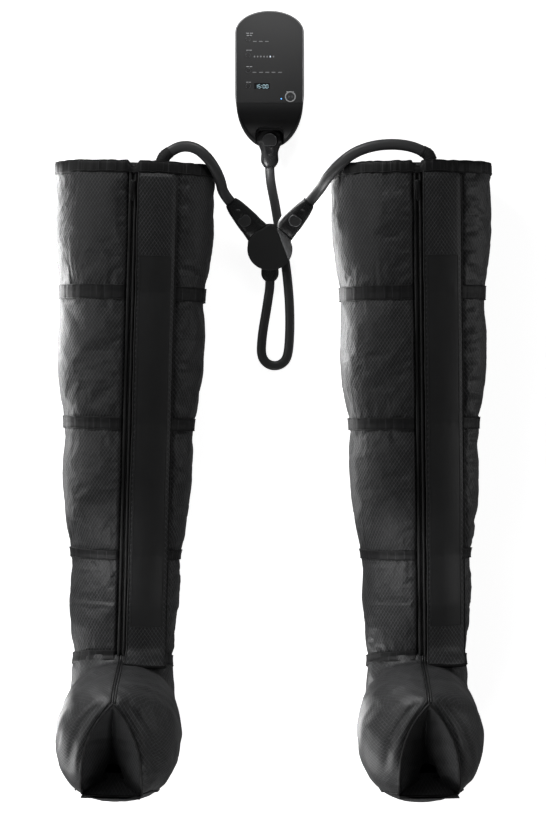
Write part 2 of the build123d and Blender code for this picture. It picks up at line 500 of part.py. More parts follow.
# ------------------------------------------------------------------ write
CORD = ("left_leg_hose", "right_leg_hose", "supply_hose", "supply_plug_body", "supply_plug_latch", "supply_plug_seal",
        "left_plug_body", "left_plug_latch", "left_plug_seal", "right_plug_body", "right_plug_latch", "right_plug_seal")
low, high = [9e9] * 3, [-9e9] * 3
for name, shape in parts.items():
    moved = Pos(FRAME_X, FRAME_Y, 0) * shape
    if len(moved.solids()) == 1:
        moved = moved.solids()[0]
    else:
        moved = Compound(children=list(moved.solids()))
    moved.label = name
    export_step(moved, "parts/%s.step" % name)
    if name not in CORD:
        box = moved.bounding_box()
        for i, (a, b) in enumerate(zip(tuple(box.min), tuple(box.max))):
            low[i], high[i] = min(low[i], a), max(high[i], b)
print("nodes", len(parts), "box without hoses", [round(v, 2) for v in low], [round(v, 2) for v in high])
print("middle", round((low[0] + high[0]) / 2, 3), round((low[1] + high[1]) / 2, 3))
print("left_tail", left_tail, "right_tail", right_tail, "collar_end", collar_end)
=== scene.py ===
"""Looks of a compression therapy system: pump, three hoses, Y splitter and two inflated leg boots."""

import bmesh
import bpy
import json
import math
import numpy as np
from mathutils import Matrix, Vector
from mathutils.bvhtree import BVHTree

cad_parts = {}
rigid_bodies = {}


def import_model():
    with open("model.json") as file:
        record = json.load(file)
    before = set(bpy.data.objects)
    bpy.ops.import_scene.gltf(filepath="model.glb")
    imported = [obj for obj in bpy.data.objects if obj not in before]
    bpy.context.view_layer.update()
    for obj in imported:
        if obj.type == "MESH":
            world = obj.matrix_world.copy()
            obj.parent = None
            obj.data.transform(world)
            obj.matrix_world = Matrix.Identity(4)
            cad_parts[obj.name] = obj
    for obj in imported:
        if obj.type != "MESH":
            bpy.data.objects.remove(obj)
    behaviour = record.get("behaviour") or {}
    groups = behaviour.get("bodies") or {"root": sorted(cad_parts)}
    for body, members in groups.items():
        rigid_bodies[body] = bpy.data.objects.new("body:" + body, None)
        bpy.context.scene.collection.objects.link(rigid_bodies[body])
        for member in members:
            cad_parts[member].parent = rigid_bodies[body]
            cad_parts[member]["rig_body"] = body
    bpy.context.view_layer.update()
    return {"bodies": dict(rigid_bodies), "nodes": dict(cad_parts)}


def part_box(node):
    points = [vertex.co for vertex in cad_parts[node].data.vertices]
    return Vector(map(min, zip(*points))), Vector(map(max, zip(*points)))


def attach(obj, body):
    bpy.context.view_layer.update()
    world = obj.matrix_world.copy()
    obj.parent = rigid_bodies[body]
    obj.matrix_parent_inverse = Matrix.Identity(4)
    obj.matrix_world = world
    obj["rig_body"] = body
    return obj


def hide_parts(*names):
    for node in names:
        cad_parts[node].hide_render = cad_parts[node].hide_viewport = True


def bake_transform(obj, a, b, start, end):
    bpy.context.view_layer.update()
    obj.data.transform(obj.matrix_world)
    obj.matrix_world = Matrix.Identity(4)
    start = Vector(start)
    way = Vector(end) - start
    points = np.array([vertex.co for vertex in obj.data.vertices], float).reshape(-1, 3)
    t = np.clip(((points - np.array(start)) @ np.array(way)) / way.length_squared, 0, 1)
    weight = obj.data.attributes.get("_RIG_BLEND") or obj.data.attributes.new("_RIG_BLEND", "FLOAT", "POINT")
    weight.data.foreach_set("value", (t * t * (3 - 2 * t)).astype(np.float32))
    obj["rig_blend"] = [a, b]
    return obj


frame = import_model()
NODES = frame["nodes"]
scene = bpy.context.scene
MM = 0.001
_lo, _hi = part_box("pump_display_window")
FX = round((_lo.x + _hi.x) / 2 / MM + 18.5, 3)       # the layout's move in plan, mm
FY = round((_lo.y + _hi.y) / 2 / MM - 481.1, 3)


def link(o):
    scene.collection.objects.link(o)
    return o


# ------------------------------------------------------------------ camera
cam_data = bpy.data.cameras.new("camera")
cam_data.sensor_fit = "VERTICAL"
cam_data.sensor_height = 36.0
cam_data.lens = 36.0 * 2484.0 / 816.0
cam_data.clip_start, cam_data.clip_end = 0.1, 60.0
cam = link(bpy.data.objects.new("camera", cam_data))
cam.location = ((FX - 0.48) * MM, (-21.75 + FY) * MM, 4.0)
cam.rotation_euler = (0.0, 0.0, 0.0)
scene.camera = cam


# ------------------------------------------------------------------ mesh helpers
def smooth(lo, hi, x):
    t = np.clip((x - lo) / (hi - lo), 0.0, 1.0)
    return t * t * (3 - 2 * t)


def noise1(u, step, seed, period=None):
    """Smooth random values from -1 to 1 along u, about one bump per 2 steps."""
    rng = np.random.default_rng(seed)
    n = 4096
    if period:
        n = max(4, int(round(period / step)))
        step = period / n
    table = rng.uniform(-1, 1, n)
    x = np.asarray(u, float) / step
    i = np.floor(x).astype(int)
    f = x - i
    f = f * f * (3 - 2 * f)
    return table[i % n] * (1 - f) + table[(i + 1) % n] * f


def noise2(u, v, su, sv, seed):
    rng = np.random.default_rng(seed)
    table = rng.uniform(-1, 1, (256, 256))
    x, y = np.asarray(u, float) / su + 101.3, np.asarray(v, float) / sv + 57.7
    i, j = np.floor(x).astype(int), np.floor(y).astype(int)
    f, g = x - i, y - j
    f, g = f * f * (3 - 2 * f), g * g * (3 - 2 * g)
    i0, i1, j0, j1 = i % 256, (i + 1) % 256, j % 256, (j + 1) % 256
    return ((table[i0, j0] * (1 - f) + table[i1, j0] * f) * (1 - g)
            + (table[i0, j1] * (1 - f) + table[i1, j1] * f) * g)


def mesh_of(name, verts, faces, mat, attrs=None, shade=True):
    me = bpy.data.meshes.new(name)
    me.from_pydata([tuple(p) for p in np.asarray(verts, float).tolist()], [], [tuple(f) for f in np.asarray(faces).tolist()]
                   if isinstance(faces, np.ndarray) else faces)
    for key, val in (attrs or {}).items():
        val = np.asarray(val, np.float32)
        if val.ndim == 2:
            at = me.attributes.new(key, "FLOAT_VECTOR", "POINT")
            at.data.foreach_set("vector", val.ravel())
        else:
            at = me.attributes.new(key, "FLOAT", "POINT")
            at.data.foreach_set("value", val.ravel())
    if shade:
        me.polygons.foreach_set("use_smooth", [True] * len(me.polygons))
    if mat is not None:
        me.materials.append(mat)
    me.update()
    return link(bpy.data.objects.new(name, me))


def grid_faces(nu, nv, wrap_u=False, wrap_v=False, flip=False, keep=None):
    iu = np.arange(nu if wrap_u else nu - 1)
    iv = np.arange(nv if wrap_v else nv - 1)
    a, b = np.meshgrid(iu, iv, indexing="ij")
    a1, b1 = (a + 1) % nu, (b + 1) % nv
    q = np.stack([a * nv + b, a1 * nv + b, a1 * nv + b1, a * nv + b1], -1)
    if keep is not None:
        q = q[keep[: q.shape[0], : q.shape[1]]]
    q = q.reshape(-1, 4)
    return q[:, ::-1] if flip else q


def grid(name, P, mat, wrap_u=False, wrap_v=False, flip=False, attrs=None, keep=None):
    nu, nv = P.shape[:2]
    at = {k: np.asarray(v).reshape(nu * nv, -1).squeeze() for k, v in (attrs or {}).items()}
    return mesh_of(name, P.reshape(-1, 3), grid_faces(nu, nv, wrap_u, wrap_v, flip, keep), mat, at)


def outward(o):
    """Makes a closed mesh's faces point outwards."""
    bm = bmesh.new()
    bm.from_mesh(o.data)
    bmesh.ops.recalc_face_normals(bm, faces=bm.faces)
    bm.to_mesh(o.data)
    bm.free()
    return o


def tube(name, line, radius, mat, k=10, closed=False, attrs=None):
    """Round tube along points (n, 3) in metres; radius in metres, one or per point."""
    line = np.asarray(line, float)
    n = len(line)
    if closed:
        t = np.roll(line, -1, 0) - np.roll(line, 1, 0)
    else:
        t = np.gradient(line, axis=0)
    t /= np.maximum(np.linalg.norm(t, axis=1, keepdims=True), 1e-12)
    up = np.array([0.0, 0.0, 1.0])
    side = np.cross(t, up)
    bad = np.linalg.norm(side, axis=1) < 0.25
    side[bad] = np.cross(t[bad], np.array([0.0, 1.0, 0.0]))
    for i in range(1, n):
        if side[i] @ side[i - 1] < 0:
            side[i] = -side[i]
    side /= np.linalg.norm(side, axis=1, keepdims=True)
    nrm = np.cross(side, t)
    ang = np.arange(k) * 2 * math.pi / k
    r = np.broadcast_to(np.asarray(radius, float), (n,))[:, None, None]
    P = line[:, None, :] + r * (np.cos(ang)[None, :, None] * side[:, None, :] + np.sin(ang)[None, :, None] * nrm[:, None, :])
    faces = [tuple(f) for f in grid_faces(n, k, closed, True).tolist()]
    if not closed:
        faces += [tuple(range(k)), tuple(reversed(range((n - 1) * k, n * k)))]
    o = mesh_of(name, P.reshape(-1, 3), faces, mat, attrs)
    return outward(o)


def joined(name, objs, mat=None):
    """One mesh object from several, keeping their materials."""
    verts, faces, mats, slots, attrs = [], [], [], [], {}
    n = 0
    names = set()
    for o in objs:
        names |= {a.name for a in o.data.attributes if a.domain == "POINT" and a.name in ("pu", "pv", "lp", "wn", "tone")}
    for key in names:
        attrs[key] = []
    for o in objs:
        me = o.data
        co = np.zeros(len(me.vertices) * 3, np.float32)
        me.vertices.foreach_get("co", co)
        verts.append(co.reshape(-1, 3))
        index = []
        for m in me.materials:
            if m not in mats:
                mats.append(m)
            index.append(mats.index(m))
        for p in me.polygons:
            faces.append(tuple(v + n for v in p.vertices))
            slots.append(index[p.material_index] if index else 0)
        for key in names:
            wide = 3 if key in ("lp", "wn") else 1
            a = me.attributes.get(key)
            val = np.zeros(len(me.vertices) * wide, np.float32)
            if a:
                a.data.foreach_get("vector" if wide == 3 else "value", val)
            attrs[key].append(val.reshape(-1, 3) if wide == 3 else val)
        n += len(me.vertices)
        bpy.data.objects.remove(o)
    out = mesh_of(name, np.concatenate(verts), faces, None, {k: np.concatenate(v) for k, v in attrs.items()})
    for m in mats:
        out.data.materials.append(m)
    out.data.polygons.foreach_set("material_index", slots)
    return out


# ------------------------------------------------------------------ materials
def new_mat(name):
    m = bpy.data.materials.new(name)
    m.use_nodes = True
    nt = m.node_tree
    return m, nt, nt.nodes["Principled BSDF"]


def node(nt, kind, **sets):
    n = nt.nodes.new(kind)
    for k, v in sets.items():
        if k.startswith("in_"):
            key = k[3:]
            key = int(key) if key.isdigit() else key.replace("_", " ")
            if isinstance(v, bpy.types.NodeSocket):
                nt.links.new(v, n.inputs[key])
            else:
                n.inputs[key].default_value = v
        else:
            setattr(n, k, v)
    return n


def math_node(nt, op, a, b=None, c=None, clamp=False):
    n = nt.nodes.new("ShaderNodeMath")
    n.operation, n.use_clamp = op, clamp
    for i, v in enumerate((a, b, c)):
        if v is None:
            continue
        if isinstance(v, bpy.types.NodeSocket):
            nt.links.new(v, n.inputs[i])
        else:
            n.inputs[i].default_value = v
    return n.outputs[0]


def mix_colour(nt, fac, a, b):
    n = nt.nodes.new("ShaderNodeMix")
    n.data_type = "RGBA"
    for sock, v in ((n.inputs[0], fac), (n.inputs[6], a), (n.inputs[7], b)):
        if isinstance(v, bpy.types.NodeSocket):
            nt.links.new(v, sock)
        else:
            sock.default_value = v if not isinstance(v, tuple) else (*v, 1.0)[:4]
    return n.outputs[2]


def coords(nt):
    return nt.nodes.new("ShaderNodeTexCoord").outputs["Object"]


def noise_node(nt, vec, scale, detail=3.0, rough=0.55):
    n = node(nt, "ShaderNodeTexNoise", in_Vector=vec, in_Scale=scale, in_Detail=detail, in_Roughness=rough)
    return n.outputs["Fac"]


def span(nt, v, lo, hi, a, b):
    n = node(nt, "ShaderNodeMapRange", in_0=v, in_1=lo, in_2=hi, in_3=a, in_4=b)
    return n.outputs[0]


def bump(nt, height, distance, strength=1.0, normal=None):
    n = node(nt, "ShaderNodeBump", in_Height=height, in_Distance=distance, in_Strength=strength)
    if normal is not None:
        nt.links.new(normal, n.inputs["Normal"])
    return n.outputs["Normal"]


def plastic(name, colour, rough, grain=0.00006, scale=900.0, metal=0.0, spread=0.06, coat=0.0, tint=None):
    """Moulded plastic or metal: fine grain, slow changes of gloss, slightly worn-looking colour."""
    m, nt, b = new_mat(name)
    v = coords(nt)
    slow = noise_node(nt, v, 14.0, 4.0)
    fine = noise_node(nt, v, scale, 2.0)
    dark = tuple(c * 0.86 for c in colour)
    lift = tuple(min(1.0, c * 1.16 + 0.002) for c in colour)
    nt.links.new(mix_colour(nt, slow, dark, lift), b.inputs["Base Color"])
    nt.links.new(span(nt, math_node(nt, "ADD", slow, math_node(nt, "MULTIPLY", fine, 0.5)), 0.4, 1.1, rough - spread, rough + spread),
                 b.inputs["Roughness"])
    nt.links.new(bump(nt, fine, grain), b.inputs["Normal"])
    b.inputs["Metallic"].default_value = metal
    if coat:
        b.inputs["Coat Weight"].default_value = coat
        b.inputs["Coat Roughness"].default_value = 0.12
    return m


def lines_of(nt, u, v, pitch, width, sign):
    """Thin lines where u + sign * v is a whole number of pitches; 1 on the line."""
    s = math_node(nt, "ADD", u, math_node(nt, "MULTIPLY", v, sign))
    p = math_node(nt, "PINGPONG", math_node(nt, "DIVIDE", s, pitch), 0.5)
    return span(nt, p, 0.5 - width / pitch, 0.5, 0.0, 1.0)


def fabric_base(name, colour, rough, sheen, thread=0.00035):
    m, nt, b = new_mat(name)
    b.inputs["Specular IOR Level"].default_value = 0.5
    b.inputs["Sheen Weight"].default_value = sheen
    b.inputs["Sheen Roughness"].default_value = 0.38
    return m, nt, b


def ripstop(name, foot=False, tone=(0.0132, 0.0134, 0.0140), bright=(0.17, 0.173, 0.18), rough=0.46):
    """Coated nylon with a raised grid of thicker threads that runs on the bias, mirrored each side of the zip."""
    m, nt, b = fabric_base(name, tone, rough, 0.05)
    if foot:
        sep = node(nt, "ShaderNodeSeparateXYZ", in_0=node(nt, "ShaderNodeAttribute", attribute_name="lp").outputs["Vector"])
        x, y, z = (sep.outputs[i] for i in range(3))
        w = node(nt, "ShaderNodeSeparateXYZ", in_0=node(nt, "ShaderNodeAttribute", attribute_name="wn").outputs["Vector"])
        planes = [(y, z, w.outputs[0]), (x, z, w.outputs[1]), (x, y, w.outputs[2])]
    else:
        u = node(nt, "ShaderNodeAttribute", attribute_name="pu").outputs["Fac"]
        v = node(nt, "ShaderNodeAttribute", attribute_name="pv").outputs["Fac"]
        planes = [(u, v, None)]
    total = None
    for u, v, w in planes:
        steep = math_node(nt, "MULTIPLY", u, 1.5)
        one = lines_of(nt, steep, v, 8.4, 0.85, 1.0)
        two = math_node(nt, "MULTIPLY", lines_of(nt, steep, v, 8.4, 0.85, -1.0), 0.62)
        both = math_node(nt, "MAXIMUM", one, two)
        if w is not None:
            both = math_node(nt, "MULTIPLY", both, w)
        total = both if total is None else math_node(nt, "ADD", total, both)
    oc = coords(nt)
    slow = noise_node(nt, oc, 9.0, 4.0)
    mid = noise_node(nt, oc, 120.0, 3.0)
    uneven = span(nt, mid, 0.3, 0.7, 0.35, 1.0)
    colour = mix_colour(nt, slow, tuple(c * 0.8 for c in tone), tuple(c * 1.25 for c in tone))
    colour = mix_colour(nt, math_node(nt, "MULTIPLY", total, math_node(nt, "MULTIPLY", uneven, 0.8)), colour, bright)
    nt.links.new(colour, b.inputs["Base Color"])
    nt.links.new(span(nt, math_node(nt, "ADD", slow, mid), 0.6, 1.4, rough - 0.07, rough + 0.08), b.inputs["Roughness"])
    u0, v0, _ = planes[-1]
    warp = node(nt, "ShaderNodeTexWave", in_Vector=oc, in_Scale=900.0, wave_type="BANDS", bands_direction="X", in_Distortion=1.0).outputs["Fac"]
    weft = node(nt, "ShaderNodeTexWave", in_Vector=oc, in_Scale=900.0, wave_type="BANDS", bands_direction="Y", in_Distortion=1.0).outputs["Fac"]
    weave = math_node(nt, "MULTIPLY", warp, weft)
    n1 = bump(nt, mid, 0.0007, 0.5)
    n2 = bump(nt, total, 0.00022, 0.8, n1)
    n3 = bump(nt, weave, 0.00006, 0.5, n2)
    nt.links.new(n3, b.inputs["Normal"])
    return m


def tape(name, colour, rough, pitch=1.1, across="pv", sheen=0.25, depth=0.00018):
    """Woven binding tape: fine ribs across its length, dusty sheen."""
    m, nt, b = fabric_base(name, colour, rough, sheen)
    oc = coords(nt)
    slow = noise_node(nt, oc, 30.0, 4.0)
    fine = noise_node(nt, oc, 700.0, 3.0)
    s = node(nt, "ShaderNodeAttribute", attribute_name=across).outputs["Fac"]
    rib = math_node(nt, "PINGPONG", math_node(nt, "DIVIDE", s, pitch), 0.5)
    rib = span(nt, rib, 0.0, 0.5, 0.0, 1.0)
    nt.links.new(mix_colour(nt, math_node(nt, "MULTIPLY", rib, slow), tuple(c * 0.7 for c in colour), tuple(c * 1.7 for c in colour)),
                 b.inputs["Base Color"])
    nt.links.new(span(nt, fine, 0.3, 0.7, rough - 0.08, rough + 0.1), b.inputs["Roughness"])
    n1 = bump(nt, rib, depth, 0.9)
    nt.links.new(bump(nt, fine, 0.00012, 0.6, n1), b.inputs["Normal"])
    return m


def gathered(name, colour, rough):
    """Binding tape drawn up by its stitching: uneven upright folds, some of them catching the light."""
    m, nt, b = fabric_base(name, colour, rough, 0.03)
    oc = coords(nt)
    s = node(nt, "ShaderNodeAttribute", attribute_name="pv").outputs["Fac"]
    at = node(nt, "ShaderNodeCombineXYZ", in_0=math_node(nt, "MULTIPLY", s, 0.21)).outputs[0]
    folds = noise_node(nt, at, 1.0, 4.0, 0.8)
    slow = noise_node(nt, oc, 22.0, 3.0)
    fine = noise_node(nt, oc, 800.0, 2.0)
    # painted highlight on the crests of some folds, and painted light and shade across every fold
    sharp = span(nt, folds, 0.55, 0.62, 0.0, 1.0)
    lit = math_node(nt, "MULTIPLY", sharp, span(nt, slow, 0.35, 0.65, 0.15, 1.0))
    body = mix_colour(nt, folds, tuple(c * 0.6 for c in colour), tuple(c * 2.0 for c in colour))
    nt.links.new(mix_colour(nt, lit, body, tuple(c * 11.0 for c in colour)), b.inputs["Base Color"])
    b.inputs["Specular IOR Level"].default_value = 0.32
    nt.links.new(span(nt, fine, 0.3, 0.7, rough - 0.07, rough + 0.1), b.inputs["Roughness"])
    n1 = bump(nt, folds, 0.0011, 0.9)
    nt.links.new(bump(nt, fine, 0.0001, 0.6, n1), b.inputs["Normal"])
    return m


def emissive(name, colour, strength):
    m, nt, b = new_mat(name)
    v = coords(nt)
    fac = noise_node(nt, v, 600.0, 2.0)
    b.inputs["Base Color"].default_value = (*colour, 1)
    b.inputs["Emission Color"].default_value = (*colour, 1)
    nt.links.new(span(nt, fac, 0.3, 0.7, strength * 0.9, strength * 1.1), b.inputs["Emission Strength"])
    nt.links.new(span(nt, fac, 0.3, 0.7, 0.35, 0.5), b.inputs["Roughness"])
    return m


def painted_chin_shade(name, light, dark, y_light, y_dark, rough):
    """Case plastic with painted shade: its grey darkens and its gloss drops down the chin, where the chin slopes away
    from the light.
    """
    m, nt, b = new_mat(name)
    v = coords(nt)
    y = node(nt, "ShaderNodeSeparateXYZ", in_0=v).outputs[1]
    slow = noise_node(nt, v, 14.0, 4.0)
    fine = noise_node(nt, v, 1300.0, 2.0)
    fac = node(nt, "ShaderNodeMapRange", interpolation_type="SMOOTHSTEP", in_0=y, in_1=y_dark * MM, in_2=y_light * MM, in_3=0.0, in_4=1.0).outputs[0]
    base = mix_colour(nt, fac, dark, light)
    nt.links.new(span(nt, fac, 0.0, 1.0, 0.05, 0.5), b.inputs["Specular IOR Level"])
    nt.links.new(mix_colour(nt, math_node(nt, "MULTIPLY", slow, 0.3), base, tuple(c * 1.3 for c in light)), b.inputs["Base Color"])
    nt.links.new(span(nt, math_node(nt, "ADD", slow, math_node(nt, "MULTIPLY", fine, 0.5)), 0.4, 1.1, rough - 0.06, rough + 0.06), b.inputs["Roughness"])
    nt.links.new(bump(nt, fine, 0.00005), b.inputs["Normal"])
    return m


MAT = {
    # the front shell's case plastic, with painted shade darkening its chin
    "case_front": painted_chin_shade("case_plastic_front", (0.0185, 0.0187, 0.0195), (0.0022, 0.0022, 0.0024), 456.0 + FY, 425.0 + FY, 0.47),
    "ripstop": ripstop("ripstop_nylon"),
    "ripstop_foot": ripstop("ripstop_nylon_foot", foot=True),
    # the mouth's walls: a lighter copy of the ripstop, painted light in the deep mouth that its walls shade
    "mouth": ripstop("ripstop_nylon_mouth", tone=(0.023, 0.0235, 0.0245), bright=(0.13, 0.133, 0.138), rough=0.55),
    # the sole's tongue: a much lighter copy of the ripstop, painted light deep between the mouth's walls
    "sole": ripstop("ripstop_nylon_sole", tone=(0.05, 0.051, 0.053), bright=(0.20, 0.203, 0.21), rough=0.55),
    "binding": gathered("binding_tape", (0.0062, 0.0062, 0.0066), 0.5),
    "binding_edge": tape("binding_edge", (0.004, 0.004, 0.0042), 0.5, 1.6, sheen=0.03),
    "piping": tape("piping_tape", (0.0055, 0.0055, 0.0058), 0.46, 1.2, sheen=0.04),
    "panel": tape("flap_panel", (0.0205, 0.0207, 0.0214), 0.50, 1.5, "pv", 0.03, 0.00008),
    "thread": tape("thread", (0.012, 0.012, 0.0125), 0.6, 0.8, sheen=0.02),
    # the flap's free end: its own black tape, made darker and duller still as painted shade under the curl
    "bound_end": tape("bound_end", (0.0012, 0.0012, 0.0013), 0.85, 1.6, sheen=0.0),
    "thread_light": tape("thread_light", (0.05, 0.05, 0.052), 0.6, 0.8, sheen=0.05),
    "zip": plastic("zip_teeth_nylon", (0.006, 0.006, 0.0065), 0.35, 0.00004, 1500.0),
    "slider": plastic("slider_metal", (0.0045, 0.0045, 0.005), 0.42, 0.00003, 1200.0, metal=0.15),
    "case": plastic("case_plastic", (0.010, 0.0101, 0.0106), 0.46, 0.00007, 1300.0),
    "face": plastic("face_plastic", (0.0185, 0.0187, 0.0195), 0.48, 0.00003, 1700.0),
    "glass": plastic("display_glass", (0.0125, 0.0128, 0.0135), 0.12, 0.00001, 300.0, spread=0.03, coat=0.6),
    # the start ring's grey plastic; the same grey paints the highlight round the pump's face
    "ring": plastic("ring_plastic", (0.46, 0.465, 0.475), 0.34, 0.00003, 1500.0),
    "start": plastic("start_button_plastic", (0.040, 0.0405, 0.042), 0.36, 0.00004, 1500.0),
    # print on the start button; the same light grey paints the highlights round buttons and latches
    "sign": plastic("printed_sign", (0.13, 0.132, 0.137), 0.5, 0.00002, 1500.0),
    "button": plastic("button_plastic", (0.012, 0.012, 0.0126), 0.40, 0.00004, 1500.0),
    "board": plastic("circuit_board", (0.010, 0.055, 0.022), 0.42, 0.00008, 500.0),
    "battery": plastic("battery_wrap", (0.018, 0.05, 0.12), 0.34, 0.00004, 400.0),
    "compressor": plastic("compressor_metal", (0.35, 0.36, 0.37), 0.33, 0.00004, 700.0, metal=1.0),
    "inner": plastic("inner_plastic", (0.045, 0.045, 0.047), 0.5, 0.00005, 900.0),
    "steel": plastic("screw_steel", (0.40, 0.40, 0.41), 0.30, 0.00003, 900.0, metal=1.0),
    "rubber": plastic("foot_rubber", (0.010, 0.010, 0.0105), 0.72, 0.0001, 900.0),
    "latch": plastic("latch_plastic", (0.044, 0.0444, 0.0455), 0.30, 0.00003, 1400.0),
    "plug": plastic("plug_plastic", (0.021, 0.0212, 0.0219), 0.28, 0.00004, 1300.0),
    "puck": plastic("puck_plastic", (0.0265, 0.0267, 0.0275), 0.42, 0.00005, 1500.0),
    "hose": plastic("hose_rubber", (0.060, 0.0605, 0.062), 0.40, 0.00005, 800.0, spread=0.05),
    "mark": plastic("printed_mark", (0.62, 0.63, 0.65), 0.55, 0.00002, 1500.0),
    "mark_dim": plastic("printed_mark_dim", (0.34, 0.345, 0.355), 0.55, 0.00002, 1500.0),
    "digit": emissive("display_digits", (0.60, 0.78, 0.84), 0.50),
    "led": emissive("blue_indicator", (0.12, 0.42, 1.0), 1.6),
    "lit": emissive("lit_mark", (0.75, 0.84, 0.95), 0.55),
}


def dress(node_name, mat):
    o = NODES[node_name]
    o.data.materials.clear()
    o.data.materials.append(MAT[mat])
    return o


for n, mat, slot in (
        ("pump_front_shell", "case", "case_plastic"), ("pump_rear_shell", "case", "case_plastic"),
        ("pump_face_panel", "face", "face_plastic"), ("pump_display_window", "glass", "display_glass"),
        ("pump_start_ring", "ring", "ring_plastic"), ("pump_start_button", "start", "button_plastic"),
        ("pump_program_button", "button", "button_plastic"), ("pump_zone_button", "button", "button_plastic"),
        ("pump_level_button", "button", "button_plastic"), ("pump_time_button", "button", "button_plastic"),
        ("pump_power_button", "button", "button_plastic"), ("pump_circuit_board", "board", "circuit_board"),
        ("pump_battery_pack", "battery", "battery_wrap"), ("pump_compressor", "compressor", "compressor_metal"),
        ("pump_valve_block", "inner", "inner_plastic"), ("pump_air_socket", "inner", "inner_plastic"),
        ("pump_charge_jack", "inner", "inner_plastic"), ("pump_case_screws", "steel", "screw_steel"),
        ("pump_rubber_feet", "rubber", "foot_rubber"),
        ("supply_plug_body", "plug", "case_plastic"), ("supply_plug_latch", "latch", "latch_plastic"),
        ("supply_plug_seal", "rubber", "foot_rubber"),
        ("splitter_cover", "puck", "case_plastic"), ("splitter_base", "puck", "case_plastic"),
        ("splitter_ports", "plug", "case_plastic"), ("splitter_collar", "plug", "case_plastic"),
        ("left_plug_body", "plug", "case_plastic"), ("left_plug_latch", "latch", "latch_plastic"), ("left_plug_seal", "rubber", "foot_rubber"),
        ("right_plug_body", "plug", "case_plastic"), ("right_plug_latch", "latch", "latch_plastic"), ("right_plug_seal", "rubber", "foot_rubber"),
        ("left_hose_grommet", "rubber", "hose_rubber"), ("right_hose_grommet", "rubber", "hose_rubber")):
    dress(n, mat)


# ------------------------------------------------------------------ hoses
split_tilt = math.radians(24.0)


def split_point(x, y, z=0.0):
    c, s = math.cos(split_tilt), math.sin(split_tilt)
    return (-6.2 + x, 235.5 + y * c - z * s, 37.0 + y * s + z * c)


turn = math.radians(39.5)
LEFT_ROUTE = [(-168.5, 371.6, 134.0), (-158.5, 380.0, 134.5), (-140.8, 386.8, 134.5), (-120.5, 383.2, 134.5),
              (-103.0, 368.5, 131.0), (-90.5, 350.5, 115.0), (-83.5, 334.5, 95.5),
              split_point(-math.sin(turn) * 116.5, math.cos(turn) * 116.5), split_point(-math.sin(turn) * 96.5, math.cos(turn) * 96.5)]
RIGHT_ROUTE = [(239.0, 373.4, 137.0), (227.3, 380.5, 138.0), (206.2, 387.0, 138.5), (180.0, 388.8, 138.5),
               (152.0, 385.5, 139.0), (125.5, 376.0, 139.0), (103.0, 359.5, 131.0), (84.5, 340.5, 109.0),
               split_point(math.sin(turn) * 118.5, math.cos(turn) * 118.5), split_point(math.sin(turn) * 96.5, math.cos(turn) * 96.5)]
SUPPLY_ROUTE = [split_point(0, -56.0), split_point(0, -68.0), (-8.4, 158.0, 7.8), (-12.5, 132.0, 7.7), (-17.0, 106.0, 7.7),
                (-19.4, 86.0, 7.7), (-20.4, 67.0, 7.7), (-16.2, 54.2, 7.7), (-5.3, 46.3, 7.7), (8.1, 46.3, 7.7), (19.0, 54.2, 7.7),
                (23.2, 67.0, 7.7), (25.0, 86.0, 7.7), (25.9, 112.0, 7.7), (25.3, 145.0, 7.7), (22.6, 180.0, 7.7),
                (18.6, 213.0, 7.7), (12.4, 246.0, 7.7), (6.8, 276.0, 8.6), (2.2, 304.0, 15.0), (-3.0, 328.0, 28.0),
                (-6.1, 346.0, 38.0), (-6.6, 362.4, 40.0)]


def spline_line(name, pts):
    """The points of one open NURBS spline through the route, in metres."""
    cu = bpy.data.curves.new(name + "_route", "CURVE")
    cu.dimensions = "3D"
    s = cu.splines.new("NURBS")
    s.points.add(len(pts) - 1)
    for q, p in zip(s.points, pts):
        q.co = ((p[0] + FX) * MM, (p[1] + FY) * MM, p[2] * MM, 1.0)
    s.order_u = 3
    s.use_endpoint_u = True
    s.resolution_u = 14
    o = bpy.data.objects.new(name + "_route", cu)
    me = bpy.data.meshes.new_from_object(o)
    line = np.array([v.co for v in me.vertices], float)
    bpy.data.meshes.remove(me)
    bpy.data.objects.remove(o)
    bpy.data.curves.remove(cu)
    return line


def hose(name, pts, d, high):
    """Rounded flat hose: d wide, high * d thick, its underside where a round one's would be."""
    line = spline_line(name, pts)
    t = np.gradient(line, axis=0)
    t /= np.linalg.norm(t, axis=1, keepdims=True)
    w = np.cross(t, [0.0, 0.0, 1.0])
    w /= np.linalg.norm(w, axis=1, keepdims=True)
    n = np.cross(w, t)
    k = 40
    a = np.arange(k) * 2 * math.pi / k
    c, s = np.cos(a), np.sin(a)
    e = 2 / 2.35
    px = 0.5 * d * MM * np.sign(c) * np.abs(c) ** e
    pz = 0.5 * d * high * MM * np.sign(s) * np.abs(s) ** e - (0.5 - 0.5 * high) * d * MM * 0.9
    P = line[:, None, :] + px[None, :, None] * w[:, None, :] + pz[None, :, None] * n[:, None, :]
    m = len(line)
    faces = [tuple(f) for f in grid_faces(m, k, False, True).tolist()] + [tuple(range(k)), tuple(reversed(range((m - 1) * k, m * k)))]
    o = outward(mesh_of(name + "_visual", P.reshape(-1, 3), faces, MAT["hose"]))
    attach(o, "hose_set" if "hose_set" in frame["bodies"] else "pump")
    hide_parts(name)
    return o, line


def body_with(node_name):
    return NODES[node_name]["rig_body"]


hose_len = {}
for name, pts, d, exit_i, mates in (
        ("left_leg_hose", LEFT_ROUTE, 17.0, 0, ["left_plug_body", "left_plug_latch", "left_plug_seal"]),
        ("right_leg_hose", RIGHT_ROUTE, 17.0, 0, ["right_plug_body", "right_plug_latch", "right_plug_seal"]),
        ("supply_hose", SUPPLY_ROUTE, 15.0, 0, ["supply_plug_body", "supply_plug_latch", "supply_plug_seal"])):
    o, line = hose(name, pts, d, 0.80 if d > 16 else 0.84)
    o.parent = None
    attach(o, body_with(name))
    long = float(np.linalg.norm(np.diff(line, axis=0), axis=1).sum())
    hose_len[name] = long


